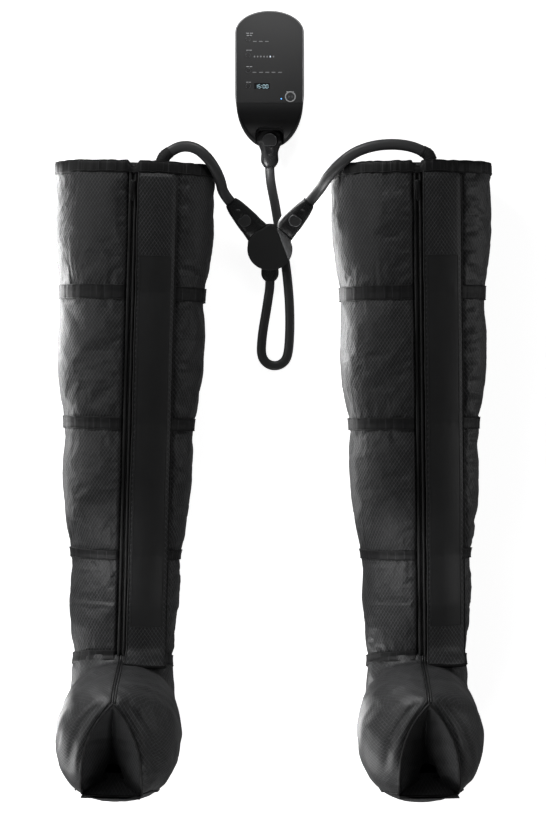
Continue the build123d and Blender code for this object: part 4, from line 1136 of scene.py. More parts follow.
def foot(side, seed):
    zip_dx, foot_dx, toe_dx = BOOTS[side][2:5]

    def side_at(z):
        return foot_dx * np.clip(z / 140, 0, 1) + (toe_dx - foot_dx) * np.clip((z - 200) / 97, 0, None)

    rows = np.array(FOOT, float)
    zs = np.concatenate([np.linspace(-2, 250, 36), [258, 266, 273, 280, 286, 291, 294.5, 296.8, 298.2]])
    tab = {k: hermite(rows[:, [0, k]], zs) for k in (1, 2, 3)}
    tab[1] = tab[1] + 5.0 + 4.5 * smooth(40.0, 120.0, zs)
    tab[3] = tab[3] - 2.6
    k = np.clip((zs - 250) / 48.2, 0, 1)
    # round over the toe end
    tuck = 17.0 * (1 - np.sqrt(np.clip(1 - k ** 2.2, 0, 1)))
    dome = 94.4 - 50.0 * np.clip((zs - 196.0) / 102.5, 0, 1) ** 2.5
    tab[3] = np.where(zs > 196, np.minimum(tab[3], dome), tab[3])
    tab[1] = np.where(zs > 250, -614.5 + 6.0 * k + tuck * 0.35, tab[1])
    tab[2] = np.where(zs > 250, -442 - 9.0 * k - tuck * 0.75, tab[2])
    tt = np.linspace(0, 2 * math.pi, 120, endpoint=False)
    c, s = np.cos(tt), np.sin(tt)
    e = 2 / 2.25
    P = np.empty((len(tt), len(zs), 3))
    P[..., 0] = tab[3][None] * (np.sign(c) * np.abs(c) ** e)[:, None] + side_at(zs)[None]
    P[..., 1] = ((tab[1] + tab[2]) / 2)[None] + ((tab[2] - tab[1]) / 2)[None] * (np.sign(s) * np.abs(s) ** e)[:, None]
    P[..., 2] = zs[None]
    m, n = P.shape[:2]
    faces = [tuple(f) for f in grid_faces(m, n, True, False).tolist()]
    faces += [tuple(i * n for i in range(m)), tuple(i * n + n - 1 for i in reversed(range(m)))]
    column = outward(mesh_of("col", P.reshape(-1, 3), faces, None))
    # ankle to foot
    link_rows = [(ring(np.array([-404.0]), tt, 0.0), 0.0), (ring(np.array([-415.0]), tt, 0.0), 0.1)]
    Q = [r.reshape(-1, 3) for r, _ in link_rows]
    for i, (Tp, Bp, a) in enumerate(HEEL + [((-530, 158), (-550, -8), 84.0)]):
        ty, tz, by, bz = Tp[0], Tp[1], Bp[0], Bp[1]
        long = math.hypot(ty - by, tz - bz)
        uy, uz = (ty - by) / long, (tz - bz) / long
        x = a * np.sign(c) * np.abs(c) ** (2 / SECTION_N) + foot_dx * (0.3 + 0.2 * i)
        v = long / 2 * np.sign(s) * np.abs(s) ** (2 / SECTION_N)
        Q.append(np.stack([x, (ty + by) / 2 + v * uy, (tz + bz) / 2 + v * uz], -1))
    Q = np.stack(Q, 1)
    # finer rows between
    fine = np.linspace(0, Q.shape[1] - 1, 26)
    i0 = np.minimum(fine.astype(int), Q.shape[1] - 2)
    f = (fine - i0)[None, :, None]
    Q = Q[:, i0] * (1 - f) + Q[:, i0 + 1] * f
    m, n = Q.shape[:2]
    faces = [tuple(f) for f in grid_faces(m, n, True, False).tolist()]
    faces += [tuple(i * n for i in range(m)), tuple(i * n + n - 1 for i in reversed(range(m)))]
    neck = outward(mesh_of("neck", Q.reshape(-1, 3), faces, None))
    both = joined("both", [column, neck])
    rm = both.modifiers.new("one skin", "REMESH")
    rm.mode, rm.voxel_size, rm.adaptivity = "VOXEL", 3.6, 0.0
    sm = both.modifiers.new("soften", "SMOOTH")
    sm.factor, sm.iterations = 0.6, 22
    dg = bpy.context.evaluated_depsgraph_get()
    me = bpy.data.meshes.new_from_object(both.evaluated_get(dg))
    bpy.data.objects.remove(both)
    co = np.zeros(len(me.vertices) * 3, np.float32)
    me.vertices.foreach_get("co", co)
    co = co.reshape(-1, 3).astype(float)
    polys = [tuple(p.vertices) for p in me.polygons]
    nr = np.zeros(len(me.vertices) * 3, np.float32)
    me.vertices.foreach_get("normal", nr)
    nr = nr.reshape(-1, 3).astype(float)
    x, y, z = co.T
    # swelling between the seams and soft creases
    lp = co.copy()
    amp = 1.5 * noise2(x + z, y - z, 34.0, 30.0, seed) + 0.8 * noise2(y + x, z - x, 15.0, 17.0, seed + 1)
    # gathers below the ankle's band
    da = np.clip(-(y + 404.0) - np.maximum(0, (120 - z)) * 0.2 - 6.0, 0, 100)
    amp += 1.4 * noise1(x * 1.0 + 0.2 * z, 7.5, seed + 2) * np.exp(-da / 14.0) * (z > 60)
    # gathers beside the mouth
    w = mouth_half(y)
    dm = np.abs(x - toe_dx) - w
    near = np.exp(-np.clip(dm, 0, 60) / 9.0) * (z > 240) * (y < -462)
    amp += 1.2 * noise1(y, 8.5, seed + 3) * near
    # raised edge beside the mouth's point
    beside = smooth(215.0, 265.0, z) * smooth(-590.0, -535.0, y) * smooth(-452.0, -470.0, y)
    amp += (3.4 * np.exp(-((dm - 8.5) / 6.5) ** 2) - 2.6 * np.exp(-((dm - 23.0) / 6.0) ** 2)) * beside
    co = co + nr * amp[:, None]
    co[:, 2] = np.maximum(co[:, 2], 0.5)
    tree = BVHTree.FromPolygons([tuple(p) for p in co.tolist()], polys)

    def top_z(px, py):
        hit = tree.ray_cast(Vector((px, py, 400.0)), Vector((0, 0, -1)))[0]
        return hit.z if hit else 290.0

    # open the mouth: drop faces inside its outline, move the cut's border onto it
    inside = (np.abs(co[:, 0] - toe_dx) < mouth_half(co[:, 1])) & (co[:, 2] > 235) & (co[:, 1] < -465) & (co[:, 1] > -606)
    keep = [p for p in polys if not all(inside[v] for v in p)]
    edge_v = {v for p in keep for v in p if inside[v]}
    for v in edge_v:
        px, py = co[v, 0] - toe_dx, co[v, 1]
        w = float(mouth_half(py))
        sgn = 1.0 if px >= 0 else -1.0
        co[v, 0] = toe_dx + sgn * (w + 0.3)
    used = sorted({v for p in keep for v in p})
    remap = {v: i for i, v in enumerate(used)}
    faces = [tuple(remap[v] for v in p) for p in keep]
    co2, nr2 = co[used], nr[used]
    wn = np.abs(nr2) ** 3
    wn /= np.maximum(wn.sum(1, keepdims=True), 1e-9)
    lpw = co2 * np.array([1.0, 1.0, 1.0])
    lpw[:, 0] = np.abs(lpw[:, 0] - zip_dx)
    shell = mesh_of("shell", place(side, co2), faces, MAT["ripstop_foot"], {"lp": lpw, "wn": wn})
    # mouth: two walls that slope down to a crease, open at the back
    ny, nx = 96, 61
    ys = np.linspace(-466.0, -604.0, ny)
    ts = np.linspace(-1, 1, nx)
    ze = {}
    for sgn in (-1, 1):
        zz = np.array([top_z(toe_dx + sgn * (float(mouth_half(v)) + 1.2), v) for v in ys])
        ze[sgn] = np.convolve(np.r_[zz[:3], zz, zz[-3:]], np.ones(7) / 7, "valid")
    Y, Tt = np.meshgrid(ys, ts, indexing="ij")
    W = mouth_half(Y)
    zedge = np.where(Tt < 0, ze[-1][:, None], ze[1][:, None])
    zedge = zedge * np.abs(Tt) + (1 - np.abs(Tt)) * (ze[-1][:, None] + ze[1][:, None]) / 2
    crease_x = 2.5 * np.sin((Y + 466) / 31.0)
    Xl = toe_dx + Tt * (W + 0.8) + crease_x * (1 - np.abs(Tt))
    depth = 1.42 * W * (1 - np.abs(Tt))
    depth += 3.2 * np.sin(math.pi * np.clip(np.abs(Tt), 0, 1)) * np.where(Tt < 0, 1.0, -0.9) * smooth(5, 30, W)
    depth += (1.3 * noise2(Xl, Y, 14.0, 17.0, seed + 5) + 1.0 * noise1(Y, 8.0, seed + 6) * np.abs(Tt)) * (1 - np.abs(Tt) ** 6)
    # the crease where the two walls meet
    depth += 9.0 * np.exp(-(Tt / 0.13) ** 2) * smooth(0.0, 12.0, W)
    Z = zedge - depth
    P = np.stack([Xl, Y, Z], -1)
    # opening between the walls and the sole's tongue
    hole = (np.abs(Xl - toe_dx) < 17.5 - (Y + 582.0) * 0.40) & (Y < -561) & (Y > -582)
    keep_q = ~hole
    # the walls wear the lighter mouth ripstop, painted light in the mouth's shade
    pit = grid("pit", place(side, P), MAT["mouth"], attrs={"pu": np.abs(Tt) * 60.0, "pv": Y}, keep=keep_q)
    if pit.data.polygons[10].normal.z < 0:
        pit.data.flip_normals()
    # tongue: the sole's fabric, up to its free edge, in a much lighter ripstop painted as light where the mouth's walls
    # shade it
    nyt, nxt = 26, 41
    yt = np.linspace(-607.0, -577.0, nyt)
    tts = np.linspace(-1, 1, nxt)
    Yt, Tq = np.meshgrid(yt, tts, indexing="ij")
    k = (Yt + 607.0) / 30.0
    half = 42.0 - 24.0 * k
    dep = 1.42 * (44.5 - half) * 0.82 - 2.0
    zr = (ze[-1][-1] + ze[1][-1]) / 2
    Xt = toe_dx + Tq * half
    Zt = zr + 1.0 - dep + 2.4 * (1 - Tq ** 2) * (1 - k) + 1.0 * noise2(Xt, Yt, 12.0, 10.0, seed + 8)
    tongue_P = np.stack([Xt, Yt, Zt], -1)
    tongue = grid("tongue", place(side, tongue_P), MAT["sole"], attrs={"pu": np.abs(Xt - toe_dx), "pv": Yt})
    if tongue.data.polygons[10].normal.z < 0:
        tongue.data.flip_normals()
    # bound edges of the mouth, the tongue and the sole
    trims = []

    def trim(pts, r, mat="piping", k=10, flat=1.0):
        pts = np.array(pts, float)
        tb = tube("t", place(side, pts), r * MM, MAT[mat], k)
        at = tb.data.attributes.new("pv", "FLOAT", "POINT")
        at.data.foreach_set("value", np.repeat(np.cumsum(np.r_[0, np.linalg.norm(np.diff(pts, axis=0), axis=1)]), k).astype(np.float32))
        trims.append(tb)

    yy = np.linspace(-604.0, -466.0, 90)
    le = [(toe_dx - float(mouth_half(v)) - 0.9, v, float(np.interp(v, ys[::-1], ze[-1][::-1])) + 0.6) for v in yy]
    ri = [(toe_dx + float(mouth_half(v)) + 0.9, v, float(np.interp(v, ys[::-1], ze[1][::-1])) + 0.6) for v in yy[::-1]]
    lip = np.array(le + [(toe_dx, -463.6, float(ze[1][0]) + 0.4)] + ri)
    lip[:, 2] += 0.35 * noise1(lip[:, 1], 6.0, seed + 9)
    lip[:, 0] += 0.3 * noise1(lip[:, 1], 7.0, seed + 10)
    trim(lip, 2.3)
    inner = np.array([(p[0] + (1.9 if p[0] < toe_dx else -1.9), p[1], p[2] - 0.9) for p in lip if p[1] < -474])
    cut = int(np.argmax(np.diff(inner[:, 0]) > 4.0)) + 1
    trim(inner[:cut], 0.5, "thread", 6)
    trim(inner[cut:], 0.5, "thread", 6)
    back = tongue_P[-1].copy()
    back[:, 2] += 0.3
    trim(back, 1.1, "thread_light", 8)
    front = tongue_P[0].copy()
    front[:, 2] += 0.2
    trim(front, 2.2)
    for j in (0, -1):
        trim(tongue_P[:, j] + np.array([0.0, 0.0, 0.5]), 0.7, "thread_light", 8)
    # piping down both edges of the sole
    for sgn in (-1, 1):
        pts = []
        for zq in np.linspace(8, 292, 80):
            kk = np.clip((zq - 250) / 48.2, 0, 1)
            a = float(np.interp(zq, zs, tab[3]))
            b0, b1 = float(np.interp(zq, zs, tab[1])), float(np.interp(zq, zs, tab[2]))
            ang = math.radians(-52)
            px = a * math.cos(ang) ** e * sgn + float(side_at(zq))
            py = (b0 + b1) / 2 + (b1 - b0) / 2 * -(math.sin(-ang) ** e)
            hit = tree.find_nearest(Vector((px, py, zq)))
            q = hit[0] + hit[1] * 0.4
            pts.append((q.x, q.y, q.z))
        tail = toe_dx + sgn * 46.5
        last = np.array([q_ for q_ in pts if q_[2] < 240][-1])
        pts = [q_ for q_ in pts if q_[2] < 240]
        goal = np.array([tail, -603.0, top_z(tail, -600.0)])
        for i in range(1, 13):
            g = i / 12
            bow = last * (1 - g) ** 2 + np.array([last[0] * 0.45 + goal[0] * 0.55, min(last[1], goal[1]) - 14.0, goal[2] - 6.0]) * 2 * g * (1 - g) + goal * g * g
            hit = tree.find_nearest(Vector(bow))
            q = hit[0] + hit[1] * 0.4
            pts.append((q.x, q.y, q.z))
        trim(pts, 1.7)
    # zip carries on over the instep to the mouth's point
    pts = []
    for v in np.linspace(-408.0, -462.0, 40):
        gx = zip_dx + (toe_dx - zip_dx) * (-408.0 - v) / 54.0
        pts.append((gx, v, top_z(gx, v) + 0.3))
    trim(pts, 1.25, "zip", 8)
    for sgn in (-1, 1):
        trim([(p[0] + sgn * 3.6, p[1], p[2] + 0.1) for p in pts], 1.35, "piping", 8)
    o = joined(side + "_foot_cell", [shell, pit, tongue])
    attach(o, side + "_leg")
    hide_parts(side + "_foot_chamber")
    tr = joined(side + "_foot_edges", trims)
    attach(tr, side + "_leg")
    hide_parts(side + "_toe_binding")
    return o


for side, base in (("left", 100), ("right", 900)):
    cell(side, "thigh", RIM_Y, SEAM_1, 81, base + 1)
    cell(side, "knee", SEAM_1, SEAM_2, 81, base + 31)
    cell(side, "calf", SEAM_2, SEAM_3, 81, base + 61)
    cell(side, "ankle", SEAM_3, -408.5, 65, base + 91)
    parts = []
    for key, y, half in (("one", 158.5, 12.4), ("two", -46.0, 10.6), ("three", -251.5, 8.4), ("ankle", -408.0, 8.0)):
        parts += band(side, key, y, half, base + 200 + int(abs(y)))
    b = joined(side + "_seam_tapes", parts)
    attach(b, side + "_leg")
    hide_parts(side + "_seam_bands")
    rim(side, base + 500)
    zip_line(side, base + 520)
    slider(side)
    foot(side, base + 560)
    flap(side, base + 540)


# ------------------------------------------------------------------ pump's front shell
PUMP_X, PUMP_TOP, PUMP_LOW = -6.6, 599.1, 395.4
PUMP_HALF, PUMP_TOP_R, PUMP_LOW_R = 53.7, 34.1, 74.6
CHIN = np.array([(380.0, 36.0), (386.0, 47.0), (394.0, 62.0), (399.0, 72.0), (405.0, 82.0), (412.0, 92.3), (420.0, 101.0), (428.0, 108.0),
                 (436.0, 113.6), (444.0, 117.3), (452.0, 119.3), (460.0, 120.0), (700.0, 120.0)])


def chin_z(y):
    return np.minimum(120.0, hermite(CHIN, y))


def loaf(name, off, z_low, top_of, radius, ny=150, nx=49):
    """Closed block on the pump's outline: flat below, its top following top_of(y), rounded over at its edge."""
    yt, yl = PUMP_TOP - PUMP_TOP_R, PUMP_LOW + PUMP_LOW_R
    a = np.linspace(0, math.pi / 2, 46)
    low = yl - (PUMP_LOW_R + off) * np.cos(a)
    high = yt + (PUMP_TOP_R + off) * np.sin(a)
    ys = np.unique(np.round(np.concatenate([low, np.linspace(yl, yt, 40), high, [454.4, 454.9, 455.3]]), 4))
    ys = ys[(ys > low.min() + 0.02) & (ys < high.max() - 0.02)]
    w = np.where(ys < yl, (PUMP_HALF + off) * np.sqrt(np.clip(1 - ((yl - ys) / (PUMP_LOW_R + off)) ** 2, 0, 1)),
                 np.where(ys > yt, (PUMP_HALF + off) * np.sqrt(np.clip(1 - ((ys - yt) / (PUMP_TOP_R + off)) ** 2, 0, 1)), PUMP_HALF + off))
    sx = np.sin(np.linspace(-math.pi / 2, math.pi / 2, nx))
    Y = np.repeat(ys[:, None], nx, 1)
    X = w[:, None] * sx[None, :]
    ry = np.where(Y < yl, (yl - Y) / (PUMP_LOW_R + off), np.where(Y > yt, (Y - yt) / (PUMP_TOP_R + off), 0.0))
    f = np.hypot(X / (PUMP_HALF + off), ry)
    near = (1 - np.clip(f, 0, 1)) * np.where(Y > yt, PUMP_TOP_R, PUMP_HALF)
    drop = np.zeros_like(X)
    if radius > 0:
        q = np.clip(near / radius, 0, 1)
        drop = radius * (1 - np.sqrt(np.clip(1 - (1 - q) ** 2, 0, 1)))
    Z = np.maximum(z_low + 0.4, top_of(Y) - drop)
    top = np.stack([X + PUMP_X, Y, Z], -1)
    bot = np.stack([X + PUMP_X, Y, np.full_like(X, z_low)], -1)
    n = len(ys)
    verts = np.concatenate([top.reshape(-1, 3), bot.reshape(-1, 3)])
    up = grid_faces(n, nx).tolist()
    down = (grid_faces(n, nx) + n * nx)[:, ::-1].tolist()
    ring_ = [i * nx for i in range(n)] + [(n - 1) * nx + j for j in range(1, nx)] + [i * nx + nx - 1 for i in range(n - 2, -1, -1)] + [j for j in range(nx - 2, 0, -1)]
    wall = [(ring_[i], ring_[(i + 1) % len(ring_)], ring_[(i + 1) % len(ring_)] + n * nx, ring_[i] + n * nx) for i in range(len(ring_))]
    world = (verts + np.array([FX, FY, 0.0])) * MM
    return outward(mesh_of(name, world, [tuple(q) for q in up + down + wall], MAT["case_front"]))


def rounded_box(name, x0, x1, y0, y1, z0, z1, r):
    """Upright box with its two far corners rounded."""
    pts = [(x0, y0), (x1, y0)]
    pts += [(x1 - r + r * math.cos(a), y1 - r + r * math.sin(a)) for a in np.linspace(0, math.pi / 2, 14)]
    pts += [(x0 + r + r * math.cos(a), y1 - r + r * math.sin(a)) for a in np.linspace(math.pi / 2, math.pi, 14)]
    n = len(pts)
    verts = [((x + FX) * MM, (y + FY) * MM, z * MM) for z in (z0, z1) for x, y in pts]
    faces = [(i, (i + 1) % n, (i + 1) % n + n, i + n) for i in range(n)] + [tuple(reversed(range(n))), tuple(range(n, 2 * n))]
    return outward(mesh_of(name, np.array(verts), faces, MAT["case_front"], shade=False))


def cut(o, tool):
    m = o.modifiers.new("cut", "BOOLEAN")
    m.operation, m.solver, m.object = "DIFFERENCE", "EXACT", tool
    dg = bpy.context.evaluated_depsgraph_get()
    me = bpy.data.meshes.new_from_object(o.evaluated_get(dg))
    o.modifiers.clear()
    old = o.data
    o.data = me
    bpy.data.meshes.remove(old)
    bpy.data.objects.remove(tool)


def front_shell():
    shell = loaf("pump_front_visual", 0.0, 62.0, chin_z, 2.4)
    inner = loaf("inner", -2.42, 55.0, lambda y: np.where(y > 454.6, 130.0, chin_z(y) - 3.4), 0.0)
    wall = rounded_box("wall", PUMP_X - 25.5, PUMP_X + 25.5, 360.0, 423.0, 40.0, 160.0, 11.5)
    cut(inner, wall)
    cut(shell, inner)
    cut(shell, rounded_box("notch", PUMP_X - 22.5, PUMP_X + 22.5, 355.0, 420.0, 24.5, 150.0, 10.0))
    shell.data.polygons.foreach_set("use_smooth", [True] * len(shell.data.polygons))
    shell.data.set_sharp_from_angle(angle=math.radians(32))
    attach(shell, body_with("pump_front_shell"))
    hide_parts("pump_front_shell")
    return shell


front_shell()

# ------------------------------------------------------------------ cuffs where the leg hoses leave the boots
for side, pts, first in (("left", LEFT_ROUTE, (-174.0, 361.5, 131.5)), ("right", RIGHT_ROUTE, (244.0, 364.0, 134.5))):
    way = spline_line(side + "_leg_hose", pts)[:7] / MM - np.array([FX, FY, 0.0])
    # the rounded flat hose sits a little below its route's line
    way[:, 2] -= 1.0
    lead = np.array(first)
    a_ = np.linspace(0, 1, 7)[:-1, None]
    bend = lead * (1 - a_) ** 2 + (lead + np.array([1.6 if side == "left" else -1.6, 6.0, 1.2])) * 2 * a_ * (1 - a_) + way[0] * a_ ** 2
    line = np.concatenate([bend, way])
    seg_ = np.r_[0, np.cumsum(np.linalg.norm(np.diff(line, axis=0), axis=1))]
    fine_ = np.linspace(0, min(seg_[-1], 24.0), 40)
    line = np.stack([np.interp(fine_, seg_, line[:, i]) for i in range(3)], -1)
    rad = 9.9 - 0.9 * smooth(6.0, 24.0, fine_) + 0.35 * (np.abs((fine_ / 3.4) % 1 - 0.5) < 0.2)
    cuff = tube(side + "_hose_cuff", (line + np.array([FX, FY, 0.0])) * MM, rad * MM, MAT["rubber"], 28)
    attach(cuff, side + "_leg")
    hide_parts(side + "_hose_grommet")


# ------------------------------------------------------------------ pump's face marks
PX = 273.8


def face_xy(px, py):
    """A place on the pump's face, in the row frame, mm."""
    return (px - PX) * 1.562 + FX, (408 - py) * 1.562 - 21.75 + FY


def chip(verts, faces, x, y, w, h, z0=119.9, z1=120.22, r=None):
    """A low rounded bar on the face."""
    r = min(w, h) * 0.45 if r is None else r
    pts = []
    for cx, cy, a0 in ((w / 2 - r, h / 2 - r, 0), (-w / 2 + r, h / 2 - r, 90), (-w / 2 + r, -h / 2 + r, 180), (w / 2 - r, -h / 2 + r, 270)):
        for k in range(5):
            a = math.radians(a0 + 22.5 * k)
            pts.append((x + cx + r * math.cos(a), y + cy + r * math.sin(a)))
    b, n = len(verts), len(pts)
    for z, g in ((z0, 0.0), (z1 - 0.08, 0.0), (z1, 0.08)):
        for px, py in pts:
            verts.append(((px - g * np.sign(px - x)) * MM, (py - g * np.sign(py - y)) * MM, z * MM))
    for i in range(2):
        for j in range(n):
            j1 = (j + 1) % n
            faces.append((b + i * n + j, b + i * n + j1, b + (i + 1) * n + j1, b + (i + 1) * n + j))
    faces.append(tuple(b + 2 * n + j for j in range(n)))
    faces.append(tuple(b + j for j in reversed(range(n))))


def mark_piece(name, items, mat, body, z=120.0):
    v, f = [], []
    for x, y, w, h in items:
        chip(v, f, x, y, w, h, z - 0.15, z + 0.2)
    o = mesh_of(name, np.array(v), f, MAT[mat], shade=False)
    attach(o, body)
    return o


PUMP_BODY = body_with("pump_face_panel")
caps, dots, lit = [], [], []
for x0, x1, py in ((246.2, 253.8, 33.2), (246.6, 252.6, 35.4), (246.2, 252.4, 50.2), (246.2, 253.0, 66.6), (246.2, 251.6, 82.2), (286.2, 294.4, 91.8)):
    # a caption place, as short bars without letters
    n = max(2, int((x1 - x0) / 2.6))
    for k in range(n):
        a = x0 + (x1 - x0) * k / n
        b = x0 + (x1 - x0) * (k + 0.8) / n
        xa, ya = face_xy((a + b) / 2, py)
        caps.append((xa, ya, (b - a) * 1.562, 0.9))
for px in (255.0, 261.0, 267.0):
    dots.append((*face_xy(px - 0.2, 41.4), 5.7, 1.1))
for i, px in enumerate(np.linspace(254.5, 273.5, 7)):
    (lit if i == 5 else dots).append((*face_xy(px, 56.6), 1.9, 2.6))
for px in (254.5, 261.0, 267.3, 273.5, 280.0):
    dots.append((*face_xy(px, 72.3), 6.1, 1.1))
mark_piece("pump_caption_bars", caps, "mark", PUMP_BODY)
mark_piece("pump_scale_marks", dots, "mark_dim", PUMP_BODY)
mark_piece("pump_lit_mark", lit, "lit", PUMP_BODY)
lx, ly = face_xy(281.3, 98.8)
v, f = [], []
chip(v, f, lx, ly, 2.0, 2.0, 119.8, 120.35, 0.99)
led = mesh_of("pump_blue_indicator", np.array(v), f, MAT["led"])
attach(led, PUMP_BODY)

# display: 15:00 in seven bars a digit
SEG = {"0": "abcdef", "1": "bc", "5": "afgcd"}
items = []
cx, cy = face_xy(261.8, 86.4)
dw, dh, th = 3.2, 5.4, 0.5
for ch, ox in (("1", -8.6), ("5", -4.0), ("0", 3.4), ("0", 8.2)):
    for s_ in SEG[ch]:
        X0, Y0 = cx + ox, cy
        items.append({"a": (X0, Y0 + dh / 2, dw - th, th), "d": (X0, Y0 - dh / 2, dw - th, th), "g": (X0, Y0, dw - th, th),
                      "b": (X0 + dw / 2, Y0 + dh / 4, th, dh / 2 - 0.3), "c": (X0 + dw / 2, Y0 - dh / 4, th, dh / 2 - 0.3),
                      "f": (X0 - dw / 2, Y0 + dh / 4, th, dh / 2 - 0.3), "e": (X0 - dw / 2, Y0 - dh / 4, th, dh / 2 - 0.3)}[s_])
for dy in (-1.3, 1.3):
    items.append((cx - 0.4, cy + dy, 0.8, 0.8))
mark_piece("pump_display_digits", items, "digit", PUMP_BODY)

# start button's sign: a bar pair and a triangle, low on its cap
lo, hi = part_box("pump_start_button")
sx, sy, sz = (lo.x + hi.x) / 2 / MM, (lo.y + hi.y) / 2 / MM, hi.z / MM
v, f = [], []
b = 0
tri = [(sx - 3.2, sy - 2.0), (sx + 0.1, sy), (sx - 3.2, sy + 2.0)]
for z in (sz - 0.1, sz + 0.15):
    v += [(x * MM, y * MM, z * MM) for x, y in tri]
f += [(0, 1, 4, 3), (1, 2, 5, 4), (2, 0, 3, 5), (3, 4, 5), (2, 1, 0)]
chip(v, f, sx + 1.6, sy, 0.9, 4.0, sz - 0.1, sz + 0.15)
chip(v, f, sx + 3.3, sy, 0.9, 4.0, sz - 0.1, sz + 0.15)
sign = mesh_of("pump_start_sign", np.array(v), f, MAT["sign"], shade=False)
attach(sign, body_with("pump_start_button"))



def outline(name, src, up, radius, inset, mat, slot):
    """Thin painted highlight round the top edge of a button or a latch."""
    o = NODES[src]
    P = np.array([tuple(o.matrix_world @ q.co) for q in o.data.vertices])
    up = np.array(up, float) / np.linalg.norm(up)
    a = np.cross(up, (0.0, 1.0, 0.0))
    a /= np.linalg.norm(a)
    b = np.cross(up, a)
    top = (P @ up).max()
    q = P[P @ up > top - 0.0007]
    q = sorted({(round(float(u), 6), round(float(w), 6)) for u, w in zip(q @ a, q @ b)})
    ends = []
    for row in (q, q[::-1]):
        h = []
        for c in row:
            while len(h) > 1 and (h[-1][0] - h[-2][0]) * (c[1] - h[-2][1]) - (h[-1][1] - h[-2][1]) * (c[0] - h[-2][0]) <= 0:
                h.pop()
            h.append(c)
        ends += h[:-1]
    h = np.array(ends)
    step = np.linalg.norm(np.roll(h, -1, 0) - h, axis=1)
    s_ = np.concatenate([[0.0], np.cumsum(step)])
    h = np.vstack([h, h[:1]])
    want = np.linspace(0, s_[-1], 49)[:-1]
    h = np.stack([np.interp(want, s_, h[:, 0]), np.interp(want, s_, h[:, 1])], 1)
    mid = (h.min(0) + h.max(0)) / 2
    d = np.linalg.norm(h - mid, axis=1, keepdims=True)
    h = mid + (h - mid) * (1 - inset * MM / d)
    line = h[:, :1] * a + h[:, 1:] * b + up * (top - 0.05 * MM)
    ring = tube(name, line, radius * MM, MAT[mat], 8, closed=True)
    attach(ring, body_with(src))


# painted highlights: light lines round the tops of the small buttons and the plugs' latches
for key in ("program", "zone", "level", "time"):
    outline("pump_%s_edge" % key, "pump_%s_button" % key, (0, 0, 1), 0.28, 0.35, "sign", "button_plastic")
outline("supply_latch_edge", "supply_plug_latch", (0, 0, 1), 0.42, 0.5, "sign", "latch_plastic")
for side in ("left", "right"):
    outline(side + "_latch_edge", side + "_plug_latch", (0, -0.4067, 0.9135), 0.42, 0.5, "sign", "latch_plastic")

# painted highlight: a thin light-grey line round the face's rim
a_top = np.linspace(math.pi, 0, 60)
W0 = 53.7 - 1.5
yt, yl = PUMP_TOP - PUMP_TOP_R, PUMP_LOW + PUMP_LOW_R
pts = [(-6.6 + W0 * math.cos(a), yt + (34.1 - 1.5) * math.sin(a)) for a in a_top]
pts += [(-6.6 + W0, y) for y in np.linspace(yt - 4, 456, 30)]
pts = [(-6.6 - W0, y) for y in np.linspace(456, yt - 4, 30)] + pts
keep_pts = []
for x, y in pts:
    if y < yl:
        q = math.sqrt(max(0.0, 1 - ((yl - y) / (74.6 - 1.5)) ** 2))
        x = -6.6 + math.copysign(W0 * q, x + 6.6)
    keep_pts.append(((x + FX) * MM, (y + FY) * MM, 120.0 * MM))
edge = tube("pump_face_edge", np.array(keep_pts), 0.42 * MM, MAT["ring"], 8)
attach(edge, PUMP_BODY)

# ------------------------------------------------------------------ floor and light
floor_mat, nt, b = new_mat("floor")
v = coords(nt)
nt.links.new(mix_colour(nt, noise_node(nt, v, 3.0, 2.0), (0.90, 0.90, 0.90), (0.93, 0.93, 0.93)), b.inputs["Base Color"])
b.inputs["Roughness"].default_value = 0.9
b.inputs["Specular IOR Level"].default_value = 0.1
b.inputs["Emission Color"].default_value = (1, 1, 1, 1)
b.inputs["Emission Strength"].default_value = 0.90
R = 14.0
fl = mesh_of("floor", np.array([(-R, -R, -0.0006), (R, -R, -0.0006), (R, R, -0.0006), (-R, R, -0.0006)]), [(0, 1, 2, 3)], floor_mat, shade=False)
fl.visible_glossy = False

world = bpy.data.worlds.new("studio")
scene.world = world
world.use_nodes = True
world.node_tree.nodes["Background"].inputs[0].default_value = (1.0, 1.0, 1.0, 1)
world.node_tree.nodes["Background"].inputs[1].default_value = 0.055


def area(name, at, aim, size, power, size_y=None):
    d = bpy.data.lights.new(name, "AREA")
    d.energy, d.size = power, size
    if size_y:
        d.shape, d.size_y = "RECTANGLE", size_y
    o = link(bpy.data.objects.new(name, d))
    o.location = at
    o.rotation_mode = "QUATERNION"
    o.rotation_quaternion = (Vector(aim) - Vector(at)).to_track_quat("-Z", "Y")
    return o


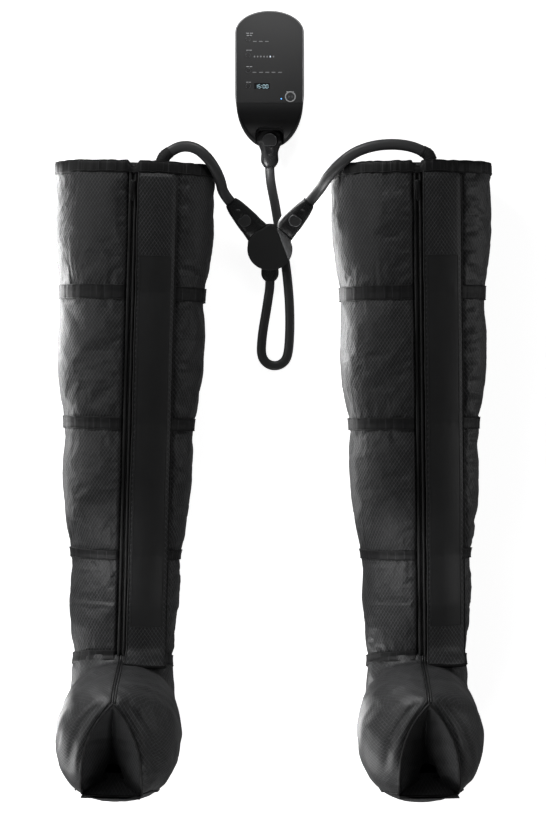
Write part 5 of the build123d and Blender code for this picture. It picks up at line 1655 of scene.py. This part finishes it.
area("key_left", (-2.3, 0.2, 1.1), (-0.2, 0.0, 0.05), 0.9, 14, 2.8)
area("fill_right", (2.5, 0.0, 0.45), (0.1, 0.0, 0.08), 0.5, 10, 2.4)
area("back_left", (-1.5, 1.9, 1.05), (0.0, -0.3, 0.1), 0.8, 19, 0.7)
for at_x, turn_z, share in ((-228.05, -1.585, 1.0), (221.3, 0.749, 0.78)):
    # low strips beside each boot: the light edge along its left side, that fades towards the ankle
    c_, s_ = math.cos(math.radians(turn_z)), math.sin(math.radians(turn_z))
    for lx_, y0_, y1_, watt, z_, tip in ((-190.0, 50.0, 360.0, 0.84, 35.0, -130.0), (-190.0, -70.0, 50.0, 0.16, 35.0, -130.0),
                                         (-184.0, -215.0, -70.0, 0.10, 35.0, -130.0), (-176.0, -560.0, -440.0, 0.26, 35.0, -130.0),
                                         (-192.0, -640.0, -540.0, 0.15, 190.0, -88.0)):
        ym_ = (y0_ + y1_) / 2
        px_, py_ = at_x + FX + lx_ * c_ - ym_ * s_, FY + lx_ * s_ + ym_ * c_
        st = area("strip", (px_ * MM, py_ * MM, z_ * MM), (px_ * MM + 0.05, py_ * MM, 0.1), 0.075, watt * share, (y1_ - y0_) * MM)
        st.rotation_mode = "XYZ"
        st.rotation_euler = (0.0, math.radians(tip), math.radians(turn_z))
        st.visible_camera = False
# near the pump: a soft light past its top end, a small one low in front of the plug
for name, at, aim, size, watt in (
        ("pump_top", (-6.6, 720.0, 420.0), (-6.6, 560.0, 120.0), 0.22, 0.62),
        ("plug", (-38.0, 345.0, 92.0), (-6.6, 392.0, 48.0), 0.03, 0.04),
        ("left_instep", (-340.0, -250.0, 270.0), (-255.0, -462.0, 170.0), 0.12, 0.2),
        ("right_instep", (112.0, -250.0, 270.0), (197.0, -462.0, 170.0), 0.12, 0.2),
        ("left_toes", (-430.0, -930.0, 430.0), (-225.0, -560.0, 160.0), 0.26, 0.72),
        ("right_toes", (10.0, -930.0, 430.0), (220.0, -560.0, 160.0), 0.26, 0.72)):
    st = area(name, ((at[0] + FX) * MM, (at[1] + FY) * MM, at[2] * MM), ((aim[0] + FX) * MM, (aim[1] + FY) * MM, aim[2] * MM), size, watt)
    st.visible_camera = False
scene.view_settings.view_transform = "Standard"
scene.view_settings.look = "None"

# ------------------------------------------------------------------ sizes and finish
print("hoses", {k: round(v, 4) for k, v in hose_len.items()})
